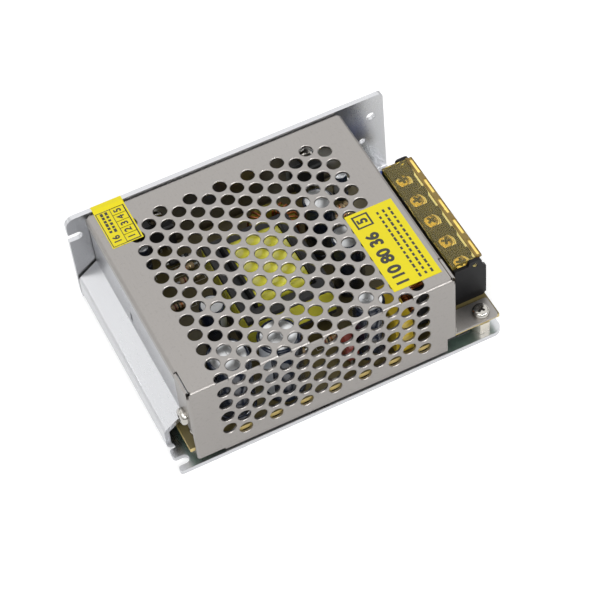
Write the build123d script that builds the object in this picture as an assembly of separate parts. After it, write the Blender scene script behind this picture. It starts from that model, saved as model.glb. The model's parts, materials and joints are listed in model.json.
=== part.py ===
from build123d import *
import math
import os

# A small switching power supply: a folded aluminium tray carries a circuit board, a row of barrier
# terminals and the parts on the board, under a perforated steel cover.
# X runs along the length towards the terminals, Y from the perforated side to the tall wall, Z up.
# The origin lies under the middle of the tray, in its mounting face. All sizes are in millimetres.

# Overall size
length = 110.0
width = 80.0
height = 36.0

# Tray, folded from one aluminium sheet
tray_sheet = 1.6
tray_bend = 0.6
end_foot_height = 9.0
end_step = 6.9
end_step_rise = 5.0
end_wall_drop = 1.8
end_wall_near_gap = 10.5
corner_relief = 0.6
tongue_reach = 8.2
ear_slot_width = 3.2
ear_slot_depth = 4.3
ear_slot_from_near = 3.8
ear_notch_width = 1.5
ear_notch_depth = 2.2
ear_tip_radius = 0.9
wall_slot_from_top = 8.1
wall_slot_depth = 4.6
wall_left_radius = 3.0
wall_right_radius = 1.5
base_corner_radius = 3.0
wall_hole_radius = 1.7
wall_hole_from_end = 4.6
wall_hole_from_top = 8.7
tapped_hole_radius = 1.25
tapped_hole_from_end = 8.2
tapped_hole_from_top = 18.6
lance_width = 1.4
lance_height = 4.0

# Cover, folded from one steel sheet
cover_sheet = 0.8
cover_bend = 0.4
cover_drop = 0.5
cover_slack = 0.1
flange_set_in = 0.6
flange_gap = 0.6
flange_left_step = 0.8
flange_left_step_length = 9.0
flange_right_step_length = 3.5
lip_depth = 3.0
far_lip_depth = 4.0
tab_length = 9.4
tab_top_gap = 0.5
tab_side_gap = 0.3
left_tab_height = 19.5
foot_length = 15.4
foot_width = 8.2
foot_corner_radius = 1.0
relief_radius = 0.7
terminal_bay_length = 15.7

# Perforation: round holes in staggered columns, in two blocks that the punch set slightly closer
hole_diameter = 4.4
hole_sides = 10
row_pitch = 6.1
column_pitch = 5.07
columns_per_block = 7
block_closing = 0.54
first_column_margin = 11.5
bend_row_inset = 0.9
far_margin = 9.5
flange_margin = 5.6

# Board and how it stands
board_thickness = 1.6
board_side_gap = 0.4
board_left_gap = 4.6
board_right_gap = 0.4
board_far_gap = 0.8
board_notch_length = 13.0
board_notch_width = 7.6
standoff_height = 4.8
standoff_flats = 5.5
standoff_shank_radius = 2.1
insulator_thickness = 0.3
insulator_margin = 2.6
insulator_hole_radius = 4.0
screw_radius = 1.5
screw_clearance = 0.2
thread_slack = 0.03
screw_head_radius = 2.8
screw_head_height = 2.1
screw_length = 5.5
screw_inset = 5.3
left_screw_inset = 5.0
side_screw_from_top = 15.2
side_screw_length = 6.0
recess_width = 0.9
recess_depth = 1.2

# Terminal block
terminal_count = 5
terminal_pitch = 9.5
terminal_barrier = 1.5
terminal_end_wall = 1.2
terminal_near_gap = 10.8
terminal_depth = 10.8
terminal_rear_wall = 1.0
terminal_stand = 1.0
terminal_floor = 7.2
terminal_wall_top = 15.3
terminal_barrier_top = 14.0
terminal_front_top = 10.6
terminal_shoulder = 1.4
terminal_shoulder_cut = 1.2
pivot_from_front = 3.8
pivot_above_wall = 0.5
pivot_boss_width = 4.6
pivot_boss_reach = 2.0
pivot_boss_round = 1.2
pivot_pin_radius = 0.75
pivot_clearance = 0.08
lid_thickness = 1.0
lid_lift = 1.2
lid_slack = 0.1
lid_ear = 0.6
lid_ear_margin = 0.45
lid_rib_width = 0.7
lid_rib_height = 0.4
lid_front_inset = 0.8
lid_rear_overhang = 0.3
lid_window_width = 1.0
lid_window_depth = 0.5
clamp_from_rear = 4.8
contact_thickness = 1.2
contact_width = 7.4
contact_length = 7.6
contact_collar_radius = 3.0
contact_collar_height = 3.0
contact_leg = 1.2
clamp_gap = 0.1
washer_size = 7.0
washer_thickness = 0.9
terminal_screw_radius = 1.75
terminal_screw_play = 0.3
terminal_head_radius = 3.2
terminal_head_height = 2.7
terminal_screw_length = 6.5
terminal_tip_room = 0.5

# Trimmer and lamp beside the terminals
trimmer_size = 6.6
trimmer_gap = 2.0
trimmer_height = 5.0
trimmer_rotor_radius = 2.2
trimmer_rotor_height = 1.4
trimmer_clearance = 0.1
lamp_radius = 1.5
lamp_height = 5.2

# Transformer
transformer_u = 0.425
transformer_v = 0.48
core_length = 29.0
core_width = 34.0
core_bar = 4.2
core_leg = 4.0
core_centre_leg = 8.0
winding_wall_gap = 0.3
bobbin_rail_height = 4.0
bobbin_rail_length = 6.0
bobbin_flange = 1.0
winding_proud = 3.6
transformer_top_gap = 0.9

# Wound and upright parts
head_gap = 1.6
can_crimp = 0.5
bulk_radius = 6.6
output_radius = 5.0
bias_radius = 4.0
choke_outer = 7.6
choke_inner = 4.0
choke_height = 6.5
choke_wire = 0.9
filter_core_length = 15.0
filter_core_height = 13.0
filter_core_depth = 5.0
filter_core_bar = 3.2
filter_coil_wall = 1.4
film_length = 15.0
film_width = 6.0
film_height = 16.0
fuse_radius = 2.6
fuse_length = 20.0
disc_radius = 5.0
disc_thickness = 4.2
lead_width = 0.7
lead_rise = 2.0
bridge_length = 14.5
bridge_thickness = 3.6
bridge_height = 10.5
device_width = 10.2
device_tab_above_body = 6.6
device_tab = 1.3
device_thickness = 4.5
device_rise = 4.0
device_hole_from_top = 3.0
pad_thickness = 0.4
pad_margin = 1.0
pad_to_lip_gap = 2.9
chip_length = 9.6
chip_width = 6.4
chip_height = 3.4
chip_rise = 0.5

# Labels
label_thickness = 0.1
top_label_length = 33.0
top_label_width = 16.0
top_label_from_right = 2.4
top_label_from_near = 4.6
seal_width = 10.2
seal_length = 18.3
seal_from_left = 3.0

# Places that follow from the sizes
x_left = -length / 2
x_right = length / 2
y_near = -width / 2
y_far = width / 2
wall_inside = y_far - tray_sheet
tray_outer_bend = tray_bend + tray_sheet
end_wall_x = x_left + end_step
end_wall_top = height - end_wall_drop
end_wall_near = y_near + end_wall_near_gap
end_wall_far = wall_inside - corner_relief
cover_top = height - cover_drop
cover_under = cover_top - cover_sheet
cover_outer_bend = cover_bend + cover_sheet
cover_left = end_wall_x - cover_sheet
cover_right = x_right - terminal_bay_length
cover_near = y_near + flange_set_in
cover_far = wall_inside - cover_slack
flange_inside = cover_near + cover_sheet
flange_bottom = tray_sheet + flange_gap
tab_far = cover_near + tab_length
tab_top = cover_top - tab_top_gap
board_bottom = tray_sheet + standoff_height
board_top = board_bottom + board_thickness
board_left = x_left + board_left_gap
board_right = x_right - board_right_gap
board_near = flange_inside + board_side_gap
board_far = wall_inside - board_far_gap
tall_top = cover_under - head_gap
core_height = tall_top - transformer_top_gap - board_top - bobbin_rail_height - 2 * winding_proud
device_height = cover_top - far_lip_depth - pad_to_lip_gap - pad_margin - device_rise - board_top
device_body_height = device_height - device_tab_above_body
terminal_front = x_right
terminal_rear = x_right - terminal_depth
terminal_near = y_near + terminal_near_gap
terminal_bay = terminal_pitch - terminal_barrier
terminal_length = terminal_count * terminal_pitch - terminal_barrier + 2 * terminal_end_wall
terminal_far = terminal_near + terminal_length
terminal_base = board_top + terminal_stand
terminal_deck = terminal_base + terminal_floor
terminal_crest = terminal_base + terminal_wall_top
clamp_x = terminal_rear + clamp_from_rear
contact_top = terminal_deck + contact_thickness
washer_bottom = contact_top + clamp_gap
head_bottom = washer_bottom + washer_thickness + clamp_gap
pivot_x = terminal_front - pivot_from_front
pivot_z = terminal_crest - pivot_above_wall
lid_bottom = pivot_z + lid_lift
lid_top = lid_bottom + lid_thickness
side_screw_z = cover_top - side_screw_from_top
side_screw_y = cover_near + tab_length / 2
foot_screw_y = cover_near + foot_width / 2 - 0.5
board_screw_places = [
    (x_right - screw_inset - 0.3, foot_screw_y),
    (board_left + left_screw_inset, board_near + screw_inset),
    (board_left + left_screw_inset, board_far - screw_inset),
    (board_right - board_notch_length - screw_inset, board_far - screw_inset),
]


def box(x0, x1, y0, y1, z0, z1):
    """A block between two corners."""
    size = Box(x1 - x0, y1 - y0, z1 - z0)
    return Pos((x0 + x1) / 2, (y0 + y1) / 2, (z0 + z1) / 2) * size


def rod(radius, x, y, z0, z1):
    """A round bar along Z."""
    return Pos(x, y, (z0 + z1) / 2) * Cylinder(radius, z1 - z0)


def rod_x(radius, x0, x1, y, z):
    """A round bar along X."""
    return Pos((x0 + x1) / 2, y, z) * Rot(0, 90, 0) * Cylinder(radius, x1 - x0)


def rod_y(radius, x, y0, y1, z):
    """A round bar along Y."""
    return Pos(x, (y0 + y1) / 2, z) * Rot(90, 0, 0) * Cylinder(radius, y1 - y0)


def post(x, y, z0, z1):
    """A square lead along Z."""
    return box(x - lead_width / 2, x + lead_width / 2, y - lead_width / 2, y + lead_width / 2, z0, z1)


def folded(points, radii, sheet, side):
    """The section of a folded sheet: a path along one face, thickened to one side."""
    path = FilletPolyline(*points, radius=radii)
    return make_face(offset(path, amount=sheet, side=side, closed=True))


def along_x(section, x0, x1):
    """A section drawn in Y and Z, drawn out along X."""
    return extrude(Plane.YZ.offset(x0) * section, amount=x1 - x0, dir=(1, 0, 0))


def along_y(section, y0, y1):
    """A section drawn in X and Z, drawn out along Y."""
    return extrude(Plane.XZ.offset(-y0) * section, amount=y1 - y0, dir=(0, 1, 0))


def along_z(section, z0, z1):
    """A section drawn in X and Y, drawn out along Z."""
    return extrude(Plane.XY.offset(z0) * section, amount=z1 - z0, dir=(0, 0, 1))


def upright_edges(part, x, y, reach=0.05):
    """The edges along Z at one corner in plan."""
    near = []
    for edge in part.edges().filter_by(Axis.Z):
        centre = edge.center()
        if abs(centre.X - x) < reach and abs(centre.Y - y) < reach:
            near.append(edge)
    return near


def on_board(u, v):
    """A place on the board, as shares of its length and width."""
    return board_left + u * (board_right - board_left), board_near + v * (board_far - board_near)


def tray_base_and_wall():
    """The flat base and the tall far wall, with the base cut away where the end wall folds up."""
    section = folded([(y_near, 0), (y_far, 0), (y_far, height)], tray_outer_bend, tray_sheet, Side.LEFT)
    sheet = along_x(section, x_left, x_right)
    fold = x_left + tray_outer_bend
    sheet -= box(x_left - 1, fold, end_wall_near, wall_inside - tray_bend, -1, tray_sheet + 1)
    notch = end_wall_near - ear_notch_width
    sheet -= box(x_left - 1, x_left + ear_notch_depth, notch, end_wall_near + 1, -1, tray_sheet + 1)
    return sheet


def tray_end_wall():
    """The stepped end wall: a low foot, a slope inwards and the upright part that the cover clasps."""
    fold = x_left + tray_outer_bend
    slope_top = end_foot_height + end_step_rise
    points = [(fold, 0), (x_left, 0), (x_left, end_foot_height), (end_wall_x, slope_top),
              (end_wall_x, end_wall_top)]
    radii = [tray_outer_bend - 0.01, tray_outer_bend, tray_bend]
    wall = along_y(folded(points, radii, tray_sheet, Side.RIGHT), end_wall_near, end_wall_far)
    tongue_low = slope_top + tray_outer_bend
    inner = end_wall_x + tray_sheet
    wall += box(end_wall_x, inner, end_wall_near - tongue_reach, end_wall_near, tongue_low, end_wall_top)
    lance_y = (end_wall_near + end_wall_far) / 2 + tray_sheet * 2
    lance_z = slope_top + end_step_rise / 2
    wall -= box(end_wall_x - 1, inner + 1, lance_y, lance_y + lance_width, lance_z, lance_z + lance_height)
    return wall


def make_tray():
    """The tray with its ears, slots and holes."""
    tray = tray_base_and_wall() + tray_end_wall()
    slot_y = y_near + ear_slot_from_near
    slot_half = ear_slot_width / 2
    slot_end = x_left + ear_slot_depth - slot_half
    tray -= box(x_left - 1, slot_end, slot_y - slot_half, slot_y + slot_half, -1, tray_sheet + 1)
    tray -= rod(slot_half, slot_end, slot_y, -1, tray_sheet + 1)
    wall_slot_z = height - wall_slot_from_top
    wall_slot_end = x_left + wall_slot_depth - slot_half
    tray -= box(x_left - 1, wall_slot_end, wall_inside - 1, y_far + 1,
                wall_slot_z - slot_half, wall_slot_z + slot_half)
    tray -= rod_y(slot_half, wall_slot_end, wall_inside - 1, y_far + 1, wall_slot_z)
    for y in (end_wall_near - ear_notch_width, slot_y + slot_half, slot_y - slot_half, y_near):
        tray = fillet(upright_edges(tray, x_left, y), ear_tip_radius)
    tray = fillet(upright_edges(tray, x_right, y_near), base_corner_radius)
    corners = tray.edges().filter_by(Axis.Y).group_by(Axis.Z)[-1].sort_by(Axis.X)
    tray = fillet(corners[0], wall_left_radius)
    corners = tray.edges().filter_by(Axis.Y).group_by(Axis.Z)[-1].sort_by(Axis.X)
    tray = fillet(corners[-1], wall_right_radius)
    tray -= rod_y(wall_hole_radius, x_right - wall_hole_from_end, wall_inside - 1, y_far + 1,
                  height - wall_hole_from_top)
    tapped_z = height - tapped_hole_from_top
    tray -= rod_y(tapped_hole_radius, x_right - tapped_hole_from_end, wall_inside - 1, y_far + 1, tapped_z)
    for x, y in board_screw_places:
        tray -= rod(standoff_shank_radius, x, y, -1, tray_sheet + 1)
    for x in device_places():
        tray -= rod_y(screw_radius + thread_slack, x, wall_inside - 1, y_far + 1, device_screw_z())
    tray -= rod_x(screw_radius + thread_slack, x_left, 0, side_screw_y, side_screw_z)
    return tray


def hole_columns():
    """The X places of the columns of holes, each with whether it starts on the bend."""
    columns = []
    start = cover_left + first_column_margin
    for number in range(2 * columns_per_block):
        x = start + number * column_pitch
        if number >= columns_per_block:
            x -= block_closing
        if x < cover_right - first_column_margin + hole_diameter:
            columns.append((x, number % 2 == 0))
    return columns


def punched_holes():
    """Round punches through the top and the side, laid out on the flat sheet and carried round the bend."""
    radius = hole_diameter / 2
    bend_saving = (2 - math.pi / 2) * cover_outer_bend
    disc = RegularPolygon(radius, hole_sides)
    punches = []
    for x, on_bend in hole_columns():
        first = bend_row_inset if on_bend else bend_row_inset + row_pitch / 2
        reach = first
        while cover_near + reach < cover_far - far_margin + 0.01:
            y = cover_near + reach
            low = cover_under - cover_bend if reach < radius + cover_outer_bend else cover_under - 1
            punches.append(Pos(x, y, low) * extrude(disc, amount=cover_top + 1 - low))
            reach += row_pitch
        drop = bend_saving - first + (0 if on_bend else row_pitch)
        if on_bend:
            drop = -first
        while cover_top - drop > flange_bottom + flange_margin:
            side = Pos(x, cover_near - 1, cover_top - drop) * Rot(-90, 0, 0)
            punches.append(side * extrude(disc, amount=cover_sheet + cover_bend + 1))
            drop += row_pitch + (bend_saving if drop < 0 else 0)
    return punches


def cover_shell():
    """Top, side flange, lips and tabs of the cover, before the holes."""
    plain_left = cover_left + cover_outer_bend
    plain_right = cover_right - cover_outer_bend
    points = [(cover_near, flange_bottom), (cover_near, cover_top), (cover_far, cover_top),
              (cover_far, cover_top - far_lip_depth)]
    shell = along_x(folded(points, cover_outer_bend, cover_sheet, Side.RIGHT), plain_left, plain_right)
    lip_start = end_wall_x + tray_sheet + flange_gap
    shell -= box(plain_left - 1, lip_start, tab_far, cover_far + 1, 0, cover_top - cover_outer_bend)
    points = [(cover_left, cover_top - lip_depth), (cover_left, cover_top), (cover_right, cover_top),
              (cover_right, cover_top - lip_depth)]
    crown = folded(points, cover_outer_bend, cover_sheet, Side.RIGHT)
    shell += along_y(crown, tab_far + tab_side_gap, cover_far - cover_outer_bend)
    points = [(cover_left, tab_far), (cover_left, cover_near),
              (cover_right, cover_near), (cover_right, tab_far)]
    skirt = along_z(folded(points, cover_outer_bend, cover_sheet, Side.LEFT), flange_bottom, tab_top)
    skirt -= box(plain_left, plain_right, cover_near - 1, tab_far, cover_top - cover_outer_bend, cover_top)
    return shell + skirt


def cover_foot():
    """The foot that folds outwards from the right tab and lies on the corner of the board."""
    inner = cover_right - cover_sheet
    outer = inner + foot_length
    near = cover_near + cover_bend
    far = cover_near + foot_width
    points = [(inner, board_top + 4 * cover_sheet), (inner, board_top), (outer, board_top)]
    foot = along_y(folded(points, cover_outer_bend, cover_sheet, Side.LEFT), near, far)
    foot = fillet(upright_edges(foot, outer, near) + upright_edges(foot, outer, far), foot_corner_radius)
    return foot


def make_cover():
    """The perforated cover in one folded piece."""
    cover = cover_shell()
    cover -= box(cover_left - 1, cover_left + cover_outer_bend, flange_inside, tab_far + 1,
                 -1, tab_top - left_tab_height)
    step = flange_bottom + flange_left_step
    cover -= box(cover_left - 1, cover_left + flange_left_step_length, cover_near - 1, flange_inside + 1,
                 -1, step)
    cover -= box(cover_right - flange_right_step_length, cover_right + 1, cover_near - 1, tab_far + 1,
                 -1, board_top)
    cover += cover_foot()
    inset = cover_outer_bend - cover_bend
    for x in (cover_left + inset, cover_right - inset):
        cover -= rod(relief_radius, x, cover_near + inset, cover_top - 2 * cover_outer_bend, cover_top + 1)
    cover -= rod_x(screw_radius + screw_clearance, cover_left - 1, cover_left + 2, side_screw_y, side_screw_z)
    x, y = board_screw_places[0]
    cover -= rod(screw_radius + screw_clearance, x, y, board_top - 1, board_top + 2)
    return cover - punched_holes()


def cross_recess(radius, top):
    """The cross in a screw head, cut from its top face."""
    reach = radius * 0.55
    low = top - recess_depth
    half = recess_width / 2
    return box(-reach, reach, -half, half, low, top + 1) + box(-half, half, -reach, reach, low, top + 1)


def pan_screw(length_below):
    """A pan head screw on the Z axis, with the underside of its head at zero."""
    head = Cylinder(screw_head_radius, screw_head_height, align=(Align.CENTER, Align.CENTER, Align.MIN))
    head = chamfer(head.edges().group_by(Axis.Z)[-1], screw_head_height * 0.4)
    shank = rod(screw_radius, 0, 0, -length_below, 0)
    return head + shank - cross_recess(screw_head_radius, screw_head_height)


def make_cover_screw():
    """The screw that holds the left tab of the cover to the end wall."""
    return Pos(cover_left, side_screw_y, side_screw_z) * Rot(0, -90, 0) * pan_screw(side_screw_length)


def make_board_screw(number):
    """A screw through the board into its standoff. The first one also holds the foot of the cover."""
    x, y = board_screw_places[number]
    seat = board_top + (cover_sheet if number == 0 else 0)
    return Pos(x, y, seat) * pan_screw(screw_length)


def make_standoff(number):
    """A hexagonal pillar pressed into the base, with its threaded hole open at both ends."""
    x, y = board_screw_places[number]
    hexagon = RegularPolygon(standoff_flats / 2, 6, major_radius=False)
    pillar = Pos(x, y, tray_sheet) * extrude(hexagon, amount=standoff_height)
    pillar += rod(standoff_shank_radius, x, y, 0, tray_sheet)
    return pillar - rod(screw_radius + thread_slack, x, y, -1, board_bottom + 1)


def make_board():
    """The circuit board with the holes for its screws and for the legs of the terminals."""
    board = box(board_left, board_right, board_near, board_far, board_bottom, board_top)
    notch_left = board_right - board_notch_length
    notch_near = board_far - board_notch_width
    board -= box(notch_left, board_right + 1, notch_near, board_far + 1, board_bottom - 1, board_top + 1)
    for x, y in board_screw_places:
        board -= rod(screw_radius + screw_clearance, x, y, board_bottom - 1, board_top + 1)
    for y in terminal_places():
        board -= box(*leg_plan(y, 0.15), board_bottom - 1, board_top + 1)
    return board


def make_insulator():
    """The thin sheet on the base that keeps the soldered side of the board off the metal."""
    left = board_left + insulator_margin
    right = board_right - insulator_margin
    near = board_near + insulator_margin
    far = board_far - insulator_margin
    sheet = box(left, right, near, far, tray_sheet, tray_sheet + insulator_thickness)
    for x, y in board_screw_places:
        sheet -= rod(insulator_hole_radius, x, y, 0, board_bottom)
    return sheet


def terminal_places():
    """The Y places of the ways of the terminal block."""
    first = terminal_near + terminal_end_wall + terminal_bay / 2
    return [first + number * terminal_pitch for number in range(terminal_count)]


def leg_plan(y, play):
    """The outline in plan of the leg of a contact, with some play round it."""
    rear = terminal_rear + terminal_rear_wall
    return rear - play, rear + contact_leg + play, y - contact_leg / 2 - play, y + contact_leg / 2 + play


def terminal_end_plate():
    """The end wall of the block, with a boss round the pivot of the lid and a cut shoulder."""
    shoulder = terminal_crest - terminal_shoulder
    cut = terminal_shoulder_cut
    outline = Polyline((terminal_rear, board_top), (terminal_front - cut, board_top),
                       (terminal_front, board_top + cut), (terminal_front, shoulder - cut),
                       (terminal_front - cut, shoulder), (pivot_x, shoulder), (pivot_x, terminal_crest),
                       (terminal_rear, terminal_crest), close=True)
    boss = RectangleRounded(pivot_boss_width, 2 * pivot_boss_reach, pivot_boss_round)
    plate = make_face(outline) + Pos(pivot_x, pivot_z) * boss
    return plate - Pos(pivot_x, pivot_z) * Circle(pivot_pin_radius + pivot_clearance)


def terminal_barrier_plate():
    """A barrier between two ways, low in front so that the lid can swing past it."""
    back = pivot_x
    front_top = terminal_base + terminal_front_top
    top = terminal_base + terminal_barrier_top
    outline = Polyline((terminal_rear, terminal_base), (terminal_front, terminal_base), (terminal_front, front_top),
                       (back, front_top), (back, top), (terminal_rear, top), close=True)
    return make_face(outline)


def make_terminal_body():
    """The moulded block: deck, rear wall and barriers between two end walls that stand on the board."""
    body = box(terminal_rear, terminal_front, terminal_near, terminal_far, terminal_base, terminal_deck)
    body += box(terminal_rear, terminal_rear + terminal_rear_wall, terminal_near, terminal_far,
                terminal_base, terminal_crest)
    body += along_y(terminal_end_plate(), terminal_near, terminal_near + terminal_end_wall)
    body += along_y(terminal_end_plate(), terminal_far - terminal_end_wall, terminal_far)
    places = terminal_places()
    for y in places[:-1]:
        start = y + terminal_bay / 2
        body += along_y(terminal_barrier_plate(), start, start + terminal_barrier)
    for y in places:
        pocket = contact_collar_radius + 0.2
        depth = terminal_screw_length - (head_bottom - terminal_deck) + terminal_tip_room
        body -= rod(pocket, clamp_x, y, terminal_deck - depth, terminal_deck)
        body -= box(*leg_plan(y, 0.15), terminal_base - 1, terminal_deck)
    return body


def make_terminal_lid():
    """The clear lid, which swings up about the pins at its ends."""
    near = terminal_near + terminal_end_wall + lid_slack
    far = terminal_far - terminal_end_wall - lid_slack
    rear = terminal_rear - lid_rear_overhang
    front = terminal_front - lid_front_inset
    lid = box(rear, front, near, far, lid_bottom, lid_top)
    lid += box(rear, terminal_rear + terminal_rear_wall, near, far, terminal_crest + lid_slack, lid_bottom)
    rib = pivot_x + pivot_pin_radius
    lid += box(rib, rib + lid_rib_width, near, far, lid_top, lid_top + lid_rib_height)
    window = (rib + lid_rib_width + front) / 2
    half_x = lid_window_width / 2
    half_y = terminal_bay / 2 - lid_rib_width
    for y in terminal_places():
        lid -= box(window - half_x, window + half_x, y - half_y, y + half_y,
                   lid_top - lid_window_depth, lid_top + 1)
    half = pivot_pin_radius + lid_ear_margin
    reach = terminal_end_wall + lid_slack
    lid += box(pivot_x - half, pivot_x + half, near, near + lid_ear, pivot_z - half, lid_bottom)
    lid += box(pivot_x - half, pivot_x + half, far - lid_ear, far, pivot_z - half, lid_bottom)
    lid += rod_y(pivot_pin_radius, pivot_x, near - reach, near, pivot_z)
    lid += rod_y(pivot_pin_radius, pivot_x, far, far + reach, pivot_z)
    return lid


def make_contact(y):
    """A contact: plate on the deck, threaded collar under it and a leg down to the board."""
    rear = terminal_rear + terminal_rear_wall
    half = contact_width / 2
    plate = box(rear, rear + contact_length, y - half, y + half, terminal_deck, contact_top)
    plate += rod(contact_collar_radius, clamp_x, y, terminal_deck - contact_collar_height, terminal_deck)
    plate += box(*leg_plan(y, 0), board_bottom - contact_thickness, terminal_deck)
    return plate - rod(terminal_screw_radius + terminal_screw_play, clamp_x, y, board_bottom, contact_top + 1)


def make_washer(y):
    """The square clamp plate that rides under the head of a terminal screw."""
    half = washer_size / 2
    washer = box(clamp_x - half, clamp_x + half, y - half, y + half,
                 washer_bottom, washer_bottom + washer_thickness)
    washer = chamfer(washer.edges().filter_by(Axis.Z), washer_thickness)
    return washer - rod(terminal_screw_radius + terminal_screw_play, clamp_x, y, board_bottom, head_bottom)


def make_terminal_screw(y):
    """A terminal screw with a crossed head."""
    top = head_bottom + terminal_head_height
    head = rod(terminal_head_radius, clamp_x, y, head_bottom, top)
    head = chamfer(head.edges().group_by(Axis.Z)[-1], terminal_head_height * 0.3)
    recess = Pos(clamp_x, y, 0) * cross_recess(terminal_head_radius, top)
    tip = head_bottom - terminal_screw_length
    return head + rod(terminal_screw_radius, clamp_x, y, tip, head_bottom) - recess


def trimmer_place():
    """The middle of the trimmer, beside the far end of the block."""
    return terminal_front - screw_inset, terminal_far + trimmer_gap + trimmer_size / 2


def make_trimmer_body():
    """The square housing of the trimmer, with a round well for its rotor."""
    x, y = trimmer_place()
    half = trimmer_size / 2
    top = board_top + trimmer_height
    housing = box(x - half, x + half, y - half, y + half, board_top, top)
    return housing - rod(trimmer_rotor_radius + trimmer_clearance, x, y, top - trimmer_rotor_height, top + 1)


def make_trimmer_rotor():
    """The slotted rotor of the trimmer."""
    x, y = trimmer_place()
    top = board_top + trimmer_height
    low = top - trimmer_rotor_height + trimmer_clearance / 2
    half = trimmer_rotor_radius * 0.75
    slot = box(x - half, x + half, y - recess_width / 3, y + recess_width / 3, top - recess_width, top + 1)
    return rod(trimmer_rotor_radius, x, y, low, top) - slot


def make_indicator_lamp():
    """A small lamp with a blunt top on two leads, between the trimmer and the cover."""
    x = terminal_rear - lamp_radius
    y = terminal_far + trimmer_gap + trimmer_size / 2
    base = board_top + lead_rise / 2
    lamp = rod(lamp_radius, x, y, base, base + lamp_height)
    lamp = chamfer(lamp.edges().group_by(Axis.Z)[-1], lamp_radius * 0.5)
    for side in (-1, 1):
        lamp += post(x, y + side * lamp_radius / 2, board_top, base)
    return lamp


def transformer_place():
    """The middle of the transformer in plan, and the level of the underside of its core."""
    x, y = on_board(transformer_u, transformer_v)
    return x, y, board_top + bobbin_rail_height + winding_proud


def make_transformer_core():
    """The closed ferrite core: two end bars, two outer legs and the centre leg."""
    x, y, low = transformer_place()
    half_x = core_length / 2
    half_y = core_width / 2
    core = box(x - half_x, x + half_x, y - half_y, y + half_y, low, low + core_height)
    window_y = half_y - core_leg
    for side in (-1, 1):
        inner = side * core_centre_leg / 2
        outer = side * window_y
        core -= box(x - half_x + core_bar, x + half_x - core_bar,
                    y + min(inner, outer), y + max(inner, outer),
                    low - 1, low + core_height + 1)
    return core


def coil_outline(grow):
    """Half sizes in Y and Z of the winding round the centre leg, grown by an amount."""
    half_y = core_width / 2 - core_leg - winding_wall_gap + grow
    half_z = core_height / 2 + winding_proud + grow
    return half_y, half_z


def make_transformer_bobbin():
    """The bobbin: a tube on the centre leg, two flanges, and a rail at each end that stands on the board."""
    x, y, low = transformer_place()
    middle = low + core_height / 2
    half_x = core_length / 2 - core_bar - winding_wall_gap
    half_y, half_z = coil_outline(0)
    tube_y = core_centre_leg / 2 + bobbin_flange
    tube_z = core_height / 2 + bobbin_flange
    bobbin = box(x - half_x, x + half_x, y - tube_y, y + tube_y, middle - tube_z, middle + tube_z)
    for side in (-1, 1):
        outer = x + side * half_x
        inner = outer - side * bobbin_flange
        bobbin += box(min(inner, outer), max(inner, outer), y - half_y, y + half_y,
                      middle - half_z, middle + half_z)
        rail = x + side * core_length / 2
        rail_in = rail - side * bobbin_rail_length
        bobbin += box(min(rail, rail_in), max(rail, rail_in), y - half_y, y + half_y,
                      board_top, middle - half_z)
    play = winding_wall_gap / 3
    bobbin -= box(x - core_length, x + core_length,
                  y - core_centre_leg / 2 - play, y + core_centre_leg / 2 + play,
                  low - play, low + core_height + play)
    return bobbin


def make_transformer_winding():
    """The taped winding, with rounded corners, between the flanges of the bobbin."""
    x, y, low = transformer_place()
    middle = low + core_height / 2
    half_x = core_length / 2 - core_bar - winding_wall_gap - bobbin_flange
    half_y, half_z = coil_outline(-0.2)
    outline = RectangleRounded(2 * half_y, 2 * half_z, core_leg / 2)
    hollow = Rectangle(core_centre_leg + 2 * bobbin_flange, core_height + 2 * bobbin_flange)
    return Pos(0, y, middle) * along_x(outline - hollow, x - half_x, x + half_x)


def can_capacitor(x, y, radius, top):
    """An upright can capacitor, turned, with a crimped groove near its foot and a bevelled rim."""
    high = top - board_top
    waist = radius - can_crimp
    groove = 4 * can_crimp
    outline = Polyline((0, 0), (radius, 0), (radius, groove), (waist, groove + can_crimp),
                       (radius, groove + 2 * can_crimp), (radius, high - can_crimp), (waist, high), (0, high),
                       close=True)
    return Pos(x, y, board_top) * revolve(Plane.XZ * make_face(outline), axis=Axis.Z)


def make_choke_core():
    """The ring core of the output choke, lying on the board."""
    x, y = on_board(0.55, 0.82)
    low = board_top + choke_wire
    high = low + choke_height
    return rod(choke_outer, x, y, low, high) - rod(choke_inner, x, y, low - 1, high + 1)


def make_choke_winding():
    """The wire of the choke as one sleeve round most of the ring, with a gap between its two ends."""
    x, y = on_board(0.55, 0.82)
    high = board_top + choke_height + 2 * choke_wire
    sleeve = rod(choke_outer + choke_wire, x, y, board_top, high)
    sleeve -= rod(choke_inner - choke_wire, x, y, 0, high + 1)
    low = board_top + choke_wire
    ring = rod(choke_outer, x, y, low, low + choke_height)
    sleeve -= ring - rod(choke_inner, x, y, low, low + choke_height)
    gap = 2 * choke_wire
    return sleeve - box(x - gap, x + gap, y, y + 2 * choke_outer, 0, high + 1)


def filter_place():
    """The middle of the line filter choke, beside the near end of the terminals."""
    return on_board(0.794, 0.187)


def make_filter_core():
    """The rectangular core of the line filter choke, standing on edge."""
    x, y = filter_place()
    half_x = filter_core_depth / 2
    half_y = filter_core_length / 2
    low = board_top + filter_coil_wall
    core = box(x - half_x, x + half_x, y - half_y, y + half_y, low, low + filter_core_height)
    inner_y = half_y - filter_core_bar
    inner = filter_core_bar
    through = filter_core_depth
    return core - box(x - through, x + through, y - inner_y, y + inner_y, low + inner,
                      low + filter_core_height - inner)


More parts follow.
